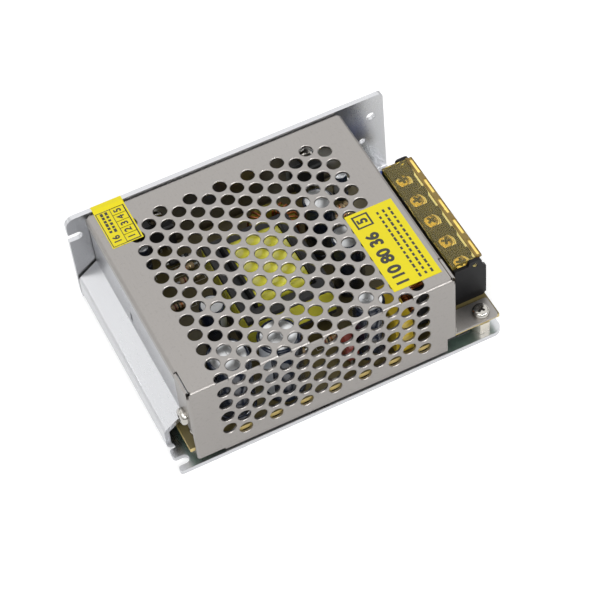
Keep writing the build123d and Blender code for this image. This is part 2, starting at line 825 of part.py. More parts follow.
def make_filter_coil(level):
    """One of the two coils, round the lower or the upper bar of the core."""
    x, y = filter_place()
    half_y = filter_core_length / 2 - filter_core_bar - winding_wall_gap
    low = board_top + filter_coil_wall + level * (filter_core_height - filter_core_bar)
    high = low + filter_core_bar
    wall = filter_coil_wall
    half_x = filter_core_depth / 2
    coil = box(x - half_x - wall, x + half_x + wall, y - half_y, y + half_y, low - wall, high + wall)
    play = winding_wall_gap / 6
    reach = filter_core_length
    return coil - box(x - half_x - play, x + half_x + play, y - reach, y + reach, low - play, high + play)


def make_film_capacitor():
    """A boxed film capacitor, standing on the board along the perforated side."""
    x, y = on_board(0.695, 0.115)
    half_x = film_width / 2
    half_y = film_length / 2
    body = box(x - half_x, x + half_x, y - half_y, y + half_y, board_top, board_top + film_height)
    return chamfer(body.edges().group_by(Axis.Z)[-1], 0.4)


def make_fuse():
    """A glass fuse with two end caps, on bent leads."""
    x, y = on_board(0.809, 0.458)
    z = board_top + fuse_radius + 0.4
    half = fuse_length / 2
    cap = fuse_length / 5
    fuse = rod_y(fuse_radius - 0.2, x, y - half, y + half, z)
    fuse += rod_y(fuse_radius, x, y - half, y - half + cap, z)
    fuse += rod_y(fuse_radius, x, y + half - cap, y + half, z)
    wire = lead_width / 2
    for side in (-1, 1):
        end = y + side * half
        lead = end + side * lead_rise
        fuse += box(x - wire, x + wire, min(end, lead), max(end, lead), z - wire, z + wire)
        fuse += post(x, lead, board_top, z + wire)
    return fuse


def make_thermistor():
    """A disc thermistor standing on two leads."""
    x, y = on_board(0.537, 0.095)
    z = board_top + lead_rise + disc_radius
    disc = rod_x(disc_radius, x - disc_thickness / 2, x + disc_thickness / 2, y, z)
    disc = chamfer(disc.edges().filter_by(GeomType.CIRCLE), disc_thickness * 0.25)
    for side in (-1, 1):
        disc += post(x, y + side * disc_radius / 2, board_top, z - disc_radius * 0.7)
    return disc


def make_bridge():
    """The bridge rectifier: a flat block on four leads."""
    x, y = on_board(0.085, 0.42)
    half_y = bridge_length / 2
    low = board_top + lead_rise
    half_x = bridge_thickness / 2
    block = box(x - half_x, x + half_x, y - half_y, y + half_y, low, low + bridge_height)
    cut = chamfer(block.edges().filter_by(Axis.X).group_by(Axis.Z)[-1].group_by(Axis.Y)[-1], 2.0)
    for number in range(4):
        cut += post(x, y + (number - 1.5) * bridge_length / 4, board_top, low)
    return cut


def device_places():
    """The X places of the two power devices on the far wall."""
    return [on_board(0.22, 0)[0], on_board(0.72, 0)[0]]


def device_screw_z():
    """The height of the screws that press the power devices to the far wall."""
    return board_top + device_rise + device_height - device_hole_from_top


def make_device(x):
    """A power device with a metal tab, standing against the pad on the far wall on three leads."""
    back = wall_inside - pad_thickness
    low = board_top + device_rise
    half = device_width / 2
    tab = box(x - half, x + half, back - device_tab, back, low, low + device_height)
    tab -= rod_y(screw_radius + screw_clearance, x, back - 2 * device_tab, back + 1, device_screw_z())
    body = box(x - half, x + half, back - device_thickness, back - device_tab, low, low + device_body_height)
    body = chamfer(body.edges().group_by(Axis.Z)[-1].group_by(Axis.Y)[0], 0.6)
    lead_y = back - device_thickness / 2
    for number in (-1, 0, 1):
        leg = x + number * device_width / 4
        body += post(leg, lead_y, board_top, low)
    return tab + body


def make_device_pad(x):
    """The insulating pad between a power device and the far wall."""
    half = device_width / 2 + pad_margin
    low = board_top + device_rise - pad_margin
    high = low + device_height + 2 * pad_margin
    pad = box(x - half, x + half, wall_inside - pad_thickness, wall_inside, low, high)
    hole_radius = screw_radius + screw_clearance
    return pad - rod_y(hole_radius, x, wall_inside - 2 * pad_thickness, wall_inside + 1, device_screw_z())


def make_device_screw(x):
    """The screw from the device into the far wall, its tip flush with the outside."""
    seat = wall_inside - pad_thickness - device_tab
    return Pos(x, seat, device_screw_z()) * Rot(90, 0, 0) * pan_screw(y_far - seat)


def make_chip():
    """The control chip on two rows of legs."""
    x, y = on_board(0.115, 0.74)
    half_x = chip_width / 2
    half_y = chip_length / 2
    low = board_top + chip_rise
    chip = box(x - half_x, x + half_x, y - half_y, y + half_y, low, low + chip_height)
    chip -= rod(lead_width, x, y + half_y, low + chip_height - 0.4, low + chip_height + 1)
    for side in (-1, 1):
        for number in range(4):
            leg_y = y + (number - 1.5) * chip_length / 4
            outer = x + side * (half_x + lead_width / 2)
            inner = x + side * half_x
            chip += box(min(inner, outer), max(inner, outer), leg_y - lead_width / 2, leg_y + lead_width / 2,
                        board_top, low + chip_height / 2)
    return chip


def make_top_label():
    """The large sticker on top of the cover, beside the terminals."""
    right = cover_right - top_label_from_right
    near = cover_near + top_label_from_near
    left = right - top_label_width
    return box(left, right, near, near + top_label_length, cover_top, cover_top + label_thickness)


def make_seal_label():
    """The small sticker that seals the joint between the cover and the far wall."""
    left = cover_left + seal_from_left
    points = [(y_far - seal_length, cover_top), (cover_far - cover_outer_bend, cover_top),
              (wall_inside - cover_slack, height), (y_far, height)]
    section = folded(points, label_thickness, label_thickness, Side.LEFT)
    return along_x(section, left, left + seal_width)


def board_parts():
    """Everything that stands on the board away from the terminals."""
    return {
        "transformer_core": make_transformer_core(),
        "transformer_bobbin": make_transformer_bobbin(),
        "transformer_winding": make_transformer_winding(),
        "bulk_capacitor_1": can_capacitor(*on_board(0.178, 0.107), bulk_radius, tall_top),
        "bulk_capacitor_2": can_capacitor(*on_board(0.333, 0.100), bulk_radius, tall_top),
        "output_capacitor_1": can_capacitor(*on_board(0.655, 0.655), output_radius, tall_top - 1.0),
        "output_capacitor_2": can_capacitor(*on_board(0.665, 0.425), output_radius, tall_top - 1.0),
        "output_capacitor_3": can_capacitor(*on_board(0.613, 0.095), output_radius, tall_top - 1.0),
        "bias_capacitor": can_capacitor(*on_board(0.228, 0.425), bias_radius, tall_top - 6.0),
        "output_choke_core": make_choke_core(),
        "output_choke_winding": make_choke_winding(),
        "line_filter_core": make_filter_core(),
        "line_filter_coil_1": make_filter_coil(0),
        "line_filter_coil_2": make_filter_coil(1),
        "film_capacitor": make_film_capacitor(),
        "fuse": make_fuse(),
        "inrush_thermistor": make_thermistor(),
        "bridge_rectifier": make_bridge(),
        "control_chip": make_chip(),
    }


def terminal_parts():
    """The terminal block and what it holds, with the trimmer and the lamp beside it."""
    parts = {
        "terminal_body": make_terminal_body(),
        "terminal_lid": make_terminal_lid(),
        "trimmer_body": make_trimmer_body(),
        "trimmer_rotor": make_trimmer_rotor(),
        "indicator_lamp": make_indicator_lamp(),
    }
    for number, y in enumerate(terminal_places(), start=1):
        parts[f"terminal_contact_{number}"] = make_contact(y)
        parts[f"terminal_washer_{number}"] = make_washer(y)
        parts[f"terminal_screw_{number}"] = make_terminal_screw(y)
    return parts


def all_parts():
    """Every piece under its name."""
    parts = {
        "chassis": make_tray(),
        "cover": make_cover(),
        "cover_screw": make_cover_screw(),
        "board": make_board(),
        "base_insulator": make_insulator(),
        "top_label": make_top_label(),
        "seal_label": make_seal_label(),
    }
    for number in range(len(board_screw_places)):
        parts[f"standoff_{number + 1}"] = make_standoff(number)
        parts[f"board_screw_{number + 1}"] = make_board_screw(number)
    for name, x in zip(("transistor", "rectifier"), device_places()):
        parts[f"power_{name}"] = make_device(x)
        parts[f"{name}_pad"] = make_device_pad(x)
        parts[f"{name}_screw"] = make_device_screw(x)
    parts.update(board_parts())
    parts.update(terminal_parts())
    return parts


os.makedirs("parts", exist_ok=True)
for name, part in all_parts().items():
    export_step(part, f"parts/{name}.step")
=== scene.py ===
import json
import math

import bmesh
import bpy
from mathutils import Matrix, Vector

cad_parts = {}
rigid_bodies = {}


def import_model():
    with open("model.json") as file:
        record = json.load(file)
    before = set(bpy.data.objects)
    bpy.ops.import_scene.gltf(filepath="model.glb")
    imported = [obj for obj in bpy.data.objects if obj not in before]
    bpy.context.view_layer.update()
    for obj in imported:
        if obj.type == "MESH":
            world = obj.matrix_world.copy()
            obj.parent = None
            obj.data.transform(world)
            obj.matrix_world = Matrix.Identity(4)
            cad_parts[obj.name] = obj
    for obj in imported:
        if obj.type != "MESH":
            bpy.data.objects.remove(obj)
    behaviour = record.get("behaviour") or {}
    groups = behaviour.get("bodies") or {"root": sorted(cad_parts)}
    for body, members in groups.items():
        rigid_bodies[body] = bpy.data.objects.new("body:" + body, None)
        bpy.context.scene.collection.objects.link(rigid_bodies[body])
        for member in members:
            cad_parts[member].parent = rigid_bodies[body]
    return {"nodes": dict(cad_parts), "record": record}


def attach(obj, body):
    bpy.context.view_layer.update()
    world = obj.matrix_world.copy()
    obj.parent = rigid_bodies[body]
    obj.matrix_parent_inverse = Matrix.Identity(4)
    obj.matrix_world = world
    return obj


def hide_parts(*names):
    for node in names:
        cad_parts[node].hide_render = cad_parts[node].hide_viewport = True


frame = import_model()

# A small switching power supply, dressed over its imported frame.
# Sizes are in millimetres and turned into metres by MM. X runs to the terminals, Y to the tall wall.
MM = 0.001
CAD_MERGE = 0.0004
MADE_MERGE = 0.001
QUARTER = math.radians(90)
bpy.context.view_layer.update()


# Node helpers. One that builds a value or a geometry returns its output socket.

def add(tree, kind, props=None, values=None):
    """Adds a node. Inputs go by name or number and take a plain value or a socket, which is linked."""
    made = tree.nodes.new(kind)
    for name, value in (props or {}).items():
        setattr(made, name, value)
    for name, value in (values or {}).items():
        if isinstance(value, bpy.types.NodeSocket):
            tree.links.new(value, made.inputs[name])
        else:
            made.inputs[name].default_value = value
    return made


def maths(tree, operation, *terms):
    """A maths node on sockets and plain numbers."""
    return add(tree, "ShaderNodeMath", {"operation": operation}, dict(enumerate(terms))).outputs[0]


def product(tree, value, *factors):
    """Sockets and plain numbers multiplied one after another."""
    for factor in factors:
        value = maths(tree, "MULTIPLY", value, factor)
    return value


def vector_of(tree, x=0.0, y=0.0, z=0.0):
    """Puts three sockets or numbers together as a vector."""
    return add(tree, "ShaderNodeCombineXYZ", values={0: x, 1: y, 2: z}).outputs[0]


def noise(tree, vector, scale, detail, roughness=0.5):
    """Noise between 0 and 1."""
    return add(tree, "ShaderNodeTexNoise", values={
        "Vector": vector, "Scale": scale, "Detail": detail, "Roughness": roughness}).outputs["Fac"]


def ramp(tree, value, start, end, low=0.0, high=1.0, course="LINEAR"):
    """Carries a value from one range to another and holds it at the ends."""
    return add(tree, "ShaderNodeMapRange", {"interpolation_type": course}, {
        "Value": value, "From Min": start, "From Max": end, "To Min": low, "To Max": high}).outputs[0]


def named_inputs(tree, inputs):
    """Gives a tree one named input for each default value; None stands for an object."""
    kinds = {float: "Float", int: "Int", str: "String", type(None): "Object", 3: "Vector", 4: "Color"}
    for label, default in inputs.items():
        kind = kinds[len(default) if isinstance(default, tuple) else type(default)]
        socket = tree.interface.new_socket(label, in_out="INPUT", socket_type="NodeSocket" + kind)
        if default is not None:
            socket.default_value = default
    return tree.nodes.new("NodeGroupInput").outputs


# Shared surface effect

def worked_surface_group():
    """Colour, roughness and height of a worked surface: stretched grain, broad clouding and fine specks."""
    tree = bpy.data.node_groups.new("worked_surface", "ShaderNodeTree")
    given = named_inputs(tree, {
        "Vector": (0.0, 0.0, 0.0), "Colour": (0.5, 0.5, 0.5, 1.0), "Roughness": 0.5,
        "Stretch": (1.0, 1.0, 1.0), "Grain Scale": 2000.0, "Cloud Scale": 60.0, "Grain Tone": 0.1,
        "Cloud Tone": 0.05, "Roughness Change": 0.1, "Speck Tone": 0.0})
    stretched = add(tree, "ShaderNodeVectorMath", {"operation": "MULTIPLY"},
                    {0: given["Vector"], 1: given["Stretch"]})
    grain = noise(tree, stretched.outputs[0], given["Grain Scale"], 3.0, 0.6)
    cloud = noise(tree, given["Vector"], given["Cloud Scale"], 2.0)
    grain_off = maths(tree, "SUBTRACT", grain, 0.5)
    cloud_off = maths(tree, "SUBTRACT", cloud, 0.5)
    tone = maths(tree, "MULTIPLY_ADD", grain_off, given["Grain Tone"], 1.0)
    tone = maths(tree, "MULTIPLY_ADD", cloud_off, given["Cloud Tone"], tone)
    speck_scale, speck_from, speck_full = 1100.0, 0.66, 0.74
    spot = ramp(tree, noise(tree, given["Vector"], speck_scale, 0.0), speck_from, speck_full)
    tone = maths(tree, "SUBTRACT", tone, product(tree, spot, given["Speck Tone"]))
    tinted = add(tree, "ShaderNodeVectorMath", {"operation": "SCALE"}, {0: given["Colour"], "Scale": tone})
    change = maths(tree, "ADD", grain_off, cloud_off)
    rough = maths(tree, "MULTIPLY_ADD", change, given["Roughness Change"], given["Roughness"])
    out = tree.nodes.new("NodeGroupOutput")
    results = {"Colour": ("Color", tinted.outputs[0]), "Roughness": ("Float", rough),
               "Height": ("Float", grain)}
    for label, (kind, source) in results.items():
        tree.interface.new_socket(label, in_out="OUTPUT", socket_type="NodeSocket" + kind)
        tree.links.new(source, out.inputs[label])
    return tree


WORKED_SURFACE = worked_surface_group()


def worked_material(name, values, shader_values):
    """A material coloured by the worked surface; returns it, its tree and the surface's height."""
    material = bpy.data.materials.new(name)
    material.use_nodes = True
    tree = material.node_tree
    shader = tree.nodes["Principled BSDF"]
    place = add(tree, "ShaderNodeTexCoord").outputs["Object"]
    work = add(tree, "ShaderNodeGroup", {"node_tree": WORKED_SURFACE}, {"Vector": place, **values})
    tree.links.new(work.outputs["Colour"], shader.inputs["Base Color"])
    tree.links.new(work.outputs["Roughness"], shader.inputs["Roughness"])
    for socket, value in shader_values.items():
        shader.inputs[socket].default_value = value
    return material, tree, work.outputs["Height"]


def finish(name, colour, roughness, metallic=0.0, stretch=(1, 1, 1), grain=2500.0, cloud=60.0, grain_tone=0.1,
           cloud_tone=0.08, gloss=0.1, speck=0.0, bump=0.1, depth=0.02, **shader_values):
    """A worked finish with relief. Other values are for the shader's own sockets, with _ for a space."""
    own = {key.replace("_", " "): value for key, value in shader_values.items()}
    material, tree, height = worked_material(
        name, {"Colour": (*colour, 1), "Roughness": roughness, "Stretch": stretch, "Grain Scale": grain,
               "Cloud Scale": cloud, "Grain Tone": grain_tone, "Cloud Tone": cloud_tone,
               "Roughness Change": gloss, "Speck Tone": speck}, {"Metallic": metallic, **own})
    relief = add(tree, "ShaderNodeBump", values={"Strength": bump, "Distance": depth * MM, "Height": height})
    tree.links.new(relief.outputs["Normal"], tree.nodes["Principled BSDF"].inputs["Normal"])
    return material


def amber_plastic(name, colour, clearness):
    """Amber moulding: tinted, slightly hazy, and light passes through it to what lies below."""
    return worked_material(
        name, {"Colour": (*colour, 1), "Roughness": 0.012, "Grain Scale": 300.0, "Cloud Scale": 120.0,
               "Grain Tone": 0.06, "Cloud Tone": 0.1, "Roughness Change": 0.01},
        {"Transmission Weight": clearness, "IOR": 1.3})[0]


# Finishes, each by the material slot or the part that it is for

FINISHES = {
    "tray_aluminium": finish("mill_aluminium", (0.52, 0.525, 0.54), 0.30, 1.0, (7, 0.5, 7), 700, 30, 0.10,
                             0.06, 0.14, bump=0.25, depth=0.01),
    "cover_steel": finish("zinc_coated_steel", (0.295, 0.28, 0.267), 0.36, 1.0, (5, 0.7, 5), 650, 45, 0.14,
                          0.08, 0.12, speck=0.05, bump=0.2, depth=0.01),
    "plated_screws": finish("bright_nickel_plate", (0.43, 0.415, 0.385), 0.2, 1.0, grain=3000,
                            grain_tone=0.06),
    "terminal_screws": finish("yellow_zinc_plate", (0.86, 0.72, 0.42), 0.2, 1.0, grain=3000, grain_tone=0.12),
    "board_laminate": finish("paper_laminate", (0.42, 0.32, 0.11), 0.45, grain=1800, grain_tone=0.2,
                             Coat_Weight=0.2),
    # Painted shade: the board's upward faces are laid much darker than its laminate, for the shade under the
    # cover.
    "board_top_painted_shade": finish("coated_laminate", (0.12, 0.095, 0.034), 0.4, grain=1500, cloud=150, grain_tone=0.2,
                         cloud_tone=0.3),
    "board_mask": finish("solder_mask", (0.17, 0.30, 0.22), 0.3, grain=1500, cloud=150, cloud_tone=0.3),
    "insulating_film": finish("fibre_sheet", (0.03, 0.03, 0.032), 0.6, grain=900),
    "brass_standoffs": finish("plated_brass", (0.58, 0.55, 0.48), 0.28, 1.0, grain=2500),
    "terminal_moulding": finish("black_moulding", (0.008, 0.008, 0.009), 0.45, grain=1500, bump=0.25,
                                depth=0.03, Specular_IOR_Level=0.16),
    "contact_brass": finish("dull_contact", (0.22, 0.17, 0.08), 0.4, 1.0),
    # Painted shade: a near-black colour laid in the screws' cross recesses, standing in for the shade that
    # falls there.
    "recess_grime": finish("recess_grime", (0.03, 0.025, 0.02), 0.6, grain=3000),
    "ferrite": finish("ferrite", (0.028, 0.028, 0.03), 0.55, grain=2500, grain_tone=0.5, bump=0.4),
    "winding_tape": finish("polyester_tape", (0.74, 0.70, 0.07), 0.26, grain=300, cloud=90, cloud_tone=0.25,
                           Coat_Weight=0.4, Coat_Roughness=0.1),
    "bobbin_plastic": finish("bobbin_plastic", (0.012, 0.012, 0.012), 0.45),
    "dark_sleeve": finish("shrunk_sleeve", (0.012, 0.018, 0.035), 0.22, grain=900, Coat_Weight=0.3),
    "can_top": finish("bare_can_top", (0.62, 0.63, 0.64), 0.35, 1.0, grain=1600, grain_tone=0.15, bump=0.2),
    "sleeve_stripe": finish("pale_stripe", (0.42, 0.44, 0.47), 0.3, grain=900),
    "toroid_coating": finish("ring_coating", (0.30, 0.26, 0.02), 0.5),
    "copper_wire": finish("enamelled_copper", (0.45, 0.15, 0.045), 0.3, 1.0, Coat_Weight=0.5),
    "film_box": finish("film_box", (0.62, 0.45, 0.03), 0.3),
    "fuse_glass": finish("fuse_glass", (0.86, 0.9, 0.9), 0.04, grain=300, gloss=0.02,
                         Transmission_Weight=0.85, IOR=1.2),
    "disc_lacquer": finish("disc_lacquer", (0.20, 0.03, 0.02), 0.3),
    "black_package": finish("black_package", (0.014, 0.014, 0.015), 0.5, grain=1800, bump=0.3),
    "pad_rubber": finish("silicone_pad", (0.28, 0.30, 0.29), 0.6),
    "trimmer_plastic": finish("trimmer_body", (0.02, 0.06, 0.3), 0.4),
    "rotor_plastic": finish("trimmer_rotor", (0.7, 0.7, 0.66), 0.4),
    "lamp_plastic": finish("lamp_lens", (0.05, 0.32, 0.08), 0.15),
    "yellow_label": finish("yellow_sticker", (0.67, 0.57, 0.004), 0.45, grain=700, grain_tone=0.05,
                           cloud_tone=0.04, Coat_Weight=0.12, Coat_Roughness=0.3, Specular_IOR_Level=0.3),
    "print_white": finish("printed_white", (0.62, 0.62, 0.58), 0.5, grain=1500, grain_tone=0.2),
    "resistor_lacquer": finish("resistor_lacquer", (0.50, 0.36, 0.20), 0.35, grain=1500),
    "blue_lacquer": finish("blue_lacquer", (0.04, 0.12, 0.36), 0.3, grain=1500, cloud=300, cloud_tone=0.2),
    # Painted highlight: bright metallic amber laid on the lid's window floors, for light passing through into
    # the bays.
    "lid_window_painted_highlight": finish("bright_amber", (0.86, 0.62, 0.16), 0.25, 0.6, grain=900, cloud=200, cloud_tone=0.4),
    "print_black": finish("printed_black", (0.02, 0.02, 0.016), 0.45, grain=900, grain_tone=0.3),
    "lid_amber": amber_plastic("clear_amber", (0.76, 0.64, 0.22), 0.93),
    # Painted shade: dark, nearly opaque amber laid on the lid's front strip and rib, though the moulding is
    # one clear amber.
    "lid_strip_painted_shade": amber_plastic("dark_amber", (0.20, 0.13, 0.035), 0.25),
}
FINISHES["seal_paper"] = FINISHES["yellow_label"]
LEAD_TIN = "can_top"
SLOTS = {row["node"]: row["material_slot"] for row in frame["record"]["subparts"]}
BOARD_TOP = 8.0


# Pieces

def linked(name, data):
    """An object made for some data and linked to the scene."""
    made = bpy.data.objects.new(name, data)
    bpy.context.scene.collection.objects.link(made)
    return made


def coat(mesh, finishes):
    """Gives a mesh its finishes by name."""
    mesh.materials.clear()
    for name in finishes:
        mesh.materials.append(FINISHES[name])


def put(name, mesh, body, nodes=(), finishes=None):
    """Links a finished mesh as a piece, makes it ride, and lets it stand for CAD nodes."""
    piece = linked(name, mesh)
    if finishes is not None:
        coat(mesh, finishes)
    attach(piece, body)
    if nodes:
        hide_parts(*nodes)


def moved(mesh, x, y, z, turn=Matrix.Identity(4)):
    """Turns a mesh and lays it at a place in millimetres."""
    mesh.transform(Matrix.Translation(Vector((x, y, z)) * MM) @ turn)
    return mesh


def plain_mesh(shape, name):
    """A bmesh written as it is."""
    mesh = bpy.data.meshes.new(name)
    shape.to_mesh(mesh)
    shape.free()
    return mesh


def mesh_from(shape, name, angle=35.0):
    """Turns a bmesh into a mesh, smooth but for the edges sharper than an angle."""
    bmesh.ops.recalc_face_normals(shape, faces=shape.faces)
    limit = math.radians(angle)
    for face in shape.faces:
        face.smooth = True
    for edge in shape.edges:
        edge.smooth = len(edge.link_faces) == 2 and edge.calc_face_angle(0) < limit
    return plain_mesh(shape, name)


def smoothed(mesh, name, angle, merge=None):
    """The same mesh with its points merged where asked, smooth but for its sharper edges."""
    shape = bmesh.new()
    shape.from_mesh(mesh)
    if merge is not None:
        bmesh.ops.remove_doubles(shape, verts=shape.verts, dist=merge * MM)
    return mesh_from(shape, name, angle)


def applied(mesh, name, kind, props=None, inputs=None):
    """The mesh that one modifier makes of a start mesh; inputs are set before it is first evaluated."""
    carrier = linked(name + "_carrier", mesh)
    modifier = carrier.modifiers.new("step", kind)
    for label, value in (props or {}).items():
        setattr(modifier, label, value)
    for identifier, value in (inputs or {}).items():
        modifier[identifier] = value
    bpy.context.view_layer.update()
    graph = bpy.context.evaluated_depsgraph_get()
    made = bpy.data.meshes.new_from_object(carrier.evaluated_get(graph), depsgraph=graph)
    carrier.modifiers.clear()
    bpy.data.objects.remove(carrier)
    made.name = name
    return made


def flats_kept_flat(mesh):
    """Weights the shading by face size, so that large flats stay flat beside their small rounded edges."""
    return applied(mesh, mesh.name, "WEIGHTED_NORMAL", {"mode": "FACE_AREA", "keep_sharp": True})


def merged_copy(node):
    """A merged bmesh copy of a CAD node."""
    shape = bmesh.new()
    shape.from_mesh(frame["nodes"][node].data)
    bmesh.ops.remove_doubles(shape, verts=shape.verts, dist=CAD_MERGE * MM)
    return shape


def soften(node, width):
    """A copy of a CAD node with a small round on its hard edges, as a moulded or sheared part has."""
    shape = merged_copy(node)
    flat_enough, limit = math.radians(0.4), math.radians(40)
    bmesh.ops.dissolve_limit(shape, angle_limit=flat_enough, verts=shape.verts, edges=shape.edges)
    hard = [edge for edge in shape.edges if len(edge.link_faces) == 2 and edge.calc_face_angle(0) > limit]
    bmesh.ops.bevel(shape, geom=hard, offset=width * MM, segments=2, profile=0.5, affect="EDGES",
                    clamp_overlap=True)
    return flats_kept_flat(mesh_from(shape, node + "_softened"))


def shape_from_rule(name, tree, finish_name, values, start=None):
    """Runs a geometry tree on a start mesh and returns the result as a plain mesh."""
    sockets = {s.name: s.identifier for s in tree.interface.items_tree if s.in_out == "INPUT"}
    inputs = {sockets[label]: value for label, value in values.items()}
    inputs[sockets["Material"]] = FINISHES[finish_name]
    return applied(start or bpy.data.meshes.new(name + "_start"), name, "NODES", {"node_group": tree}, inputs)


def rule_tree(name, inputs):
    """An empty geometry tree with geometry, a material and named inputs coming in, and geometry going out."""
    tree = bpy.data.node_groups.new(name, "GeometryNodeTree")
    tree.interface.new_socket("Geometry", in_out="INPUT", socket_type="NodeSocketGeometry")
    tree.interface.new_socket("Material", in_out="INPUT", socket_type="NodeSocketMaterial")
    given = named_inputs(tree, inputs)
    tree.interface.new_socket("Geometry", in_out="OUTPUT", socket_type="NodeSocketGeometry")
    return tree, given, tree.nodes.new("NodeGroupOutput")


def end_tree(tree, given, out, geometry, selection=True):
    """Ends a tree in Realize Instances and Set Material."""
    real = add(tree, "GeometryNodeRealizeInstances", values={0: geometry})
    painted = add(tree, "GeometryNodeSetMaterial", values={
        "Geometry": real.outputs[0], "Selection": selection, "Material": given["Material"]})
    tree.links.new(painted.outputs[0], out.inputs[0])
    return tree


def transformed(tree, geometry, **values):
    """A Transform node with its Translation, Rotation and Scale."""
    return add(tree, "GeometryNodeTransform", values={0: geometry, **values}).outputs[0]


def boolean(tree, operation, solids, base=None):
    """Joins solids, or takes them from a base."""
    made = add(tree, "GeometryNodeMeshBoolean", {"operation": operation, "solver": "MANIFOLD"})
    if base is not None:
        tree.links.new(base, made.inputs["Mesh 1"])
    for solid in solids:
        tree.links.new(solid, made.inputs["Mesh 2"])
    return made.outputs["Mesh"]


def chance_value(tree, least, most, seed):
    """A number by chance for each point, the same in every run."""
    least_number, most_number = 2, 3
    return add(tree, "FunctionNodeRandomValue", {"data_type": "FLOAT"}, {
        least_number: least, most_number: most, "Seed": seed}).outputs[1]


def on_points(tree, points, part, **values):
    """Instances of a part on points."""
    return add(tree, "GeometryNodeInstanceOnPoints", values={
        "Points": points, "Instance": part, **values}).outputs[0]


# Perforated cover: the sheet is the CAD one, the punches are round

def staggered_rows(tree, given, prefix):
    """Points in staggered columns, in a plane: X along the cover, Y across it."""
    rows = given[prefix + " Rows"]
    number = add(tree, "GeometryNodeInputIndex").outputs[0]
    column = maths(tree, "FLOOR", maths(tree, "DIVIDE", number, rows))
    row = maths(tree, "SUBTRACT", number, product(tree, column, rows))
    second_block = maths(tree, "GREATER_THAN", column, maths(tree, "SUBTRACT", given["Block Columns"], 0.5))
    x = maths(tree, "MULTIPLY_ADD", column, given["Column Pitch"], given["First Column"])
    x = maths(tree, "SUBTRACT", x, product(tree, second_block, given["Block Closing"]))
    odd = maths(tree, "MODULO", column, 2.0)
    shifted = maths(tree, "COMPARE", odd, given[prefix + " Shifted Parity"], 0.1)
    step = maths(tree, "MULTIPLY_ADD", shifted, 0.5, row)
    y = maths(tree, "MULTIPLY_ADD", step, given["Row Pitch"], given[prefix + " First Row"])
    points = add(tree, "GeometryNodePoints", values={
        "Count": product(tree, given["Columns"], rows), "Position": vector_of(tree, x, y)})
    last_row = maths(tree, "GREATER_THAN", row, maths(tree, "SUBTRACT", rows, 1.5))
    return add(tree, "GeometryNodeDeleteGeometry", {"domain": "POINT"}, {
        "Geometry": points.outputs[0], "Selection": product(tree, shifted, last_row)}).outputs[0]


def punched_sheet_tree():
    """Round, slightly broken-edged holes through a sheet, in two faces that meet at a bend."""
    tree, given, out = rule_tree("punched_sheet", {
        "Hole Radius": 2.206 * MM, "Hole Sides": 32, "Rim Break": 0.17 * MM, "Punch Depth": 1.2 * MM,
        "Columns": 14, "Block Columns": 7, "First Column": -37.4 * MM, "Column Pitch": 5.07 * MM,
        "Block Closing": 0.54 * MM, "Row Pitch": 6.1 * MM,
        "Top Rows": 12, "Top First Row": -38.5 * MM, "Top Shifted Parity": 1.0, "Top Height": 35.5 * MM,
        "Side Rows": 5, "Side First Row": 8.435 * MM, "Side Shifted Parity": 0.0, "Side Place": -39.4 * MM})
    beyond = 1.0 * MM
    punch = add(tree, "GeometryNodeMeshCylinder", values={
        "Vertices": given["Hole Sides"], "Radius": given["Hole Radius"],
        "Depth": maths(tree, "ADD", given["Punch Depth"], beyond)})
    middle = product(tree, maths(tree, "SUBTRACT", beyond, given["Punch Depth"]), 0.5)
    sunk = transformed(tree, punch.outputs["Mesh"], Translation=vector_of(tree, z=middle))
    flare_reach = product(tree, given["Rim Break"], 3.0)
    flare = add(tree, "GeometryNodeMeshCone", values={
        "Vertices": given["Hole Sides"], "Radius Bottom": given["Hole Radius"], "Depth": flare_reach,
        "Radius Top": maths(tree, "ADD", flare_reach, given["Hole Radius"])})
    under = product(tree, given["Rim Break"], -1.0)
    lifted = transformed(tree, flare.outputs["Mesh"], Translation=vector_of(tree, z=under))
    tool = boolean(tree, "UNION", [sunk, lifted])
    places = {"Top": {"Translation": vector_of(tree, z=given["Top Height"])},
              "Side": {"Translation": vector_of(tree, y=given["Side Place"]),
                       "Rotation": (QUARTER, 0, 0)}}
    punches = []
    for prefix, place in places.items():
        spread = transformed(tree, on_points(tree, staggered_rows(tree, given, prefix), tool), **place)
        punches.append(add(tree, "GeometryNodeRealizeInstances", values={0: spread}).outputs[0])
    return end_tree(tree, given, out, boolean(tree, "DIFFERENCE", punches, given["Geometry"]))


def rounded_holes_cover():
    """The cover with truly round holes, its bends smooth and its hole rims slightly broken."""
    sheet = merged_copy("cover")
    bmesh.ops.recalc_face_normals(sheet, faces=sheet.faces)
    mesh = shape_from_rule("perforated_cover", punched_sheet_tree(), "cover_steel", {},
                           plain_mesh(sheet, "cover_sheet"))
    mesh = flats_kept_flat(smoothed(mesh, "perforated_cover", 30.0, MADE_MERGE))
    put("perforated_cover", mesh, "case", ["cover"], ["cover_steel"])


rounded_holes_cover()


# CAD pieces kept in shape, with their hard edges broken

def paint(mesh, finishes, rule):
    """Gives each face the finish whose number the rule returns for its middle, in mm, and its normal."""
    coat(mesh, finishes)
    for face in mesh.polygons:
        face.material_index = rule(face.center / MM, face.normal)


def dress(node, width, finishes=None, rule=lambda middle, normal: 0):
    """Stands a softened copy in for a CAD node on the same body, painted whole or by a rule."""
    mesh = soften(node, width)
    paint(mesh, finishes or [SLOTS[node]], rule)
    body = frame["nodes"][node].parent.name.split(":")[1]
    put(node + "_dressed", mesh, body, [node])


EDGE_ROUNDS = {
    "chassis": 0.12, "terminal_body": 0.12, "transformer_core": 0.25, "transformer_bobbin": 0.15,
    "output_choke_core": 0.5, "line_filter_core": 0.3, "film_capacitor": 0.5, "transistor_pad": 0.08,
    "rectifier_pad": 0.08, "trimmer_body": 0.12, "trimmer_rotor": 0.1,
    **{f"standoff_{number}": 0.12 for number in range(1, 5)},
    **{f"terminal_contact_{number}": 0.1 for number in range(1, 6)},
    **{f"terminal_washer_{number}": 0.12 for number in range(1, 6)}}
for node_name, edge_round in EDGE_ROUNDS.items():
    dress(node_name, edge_round)

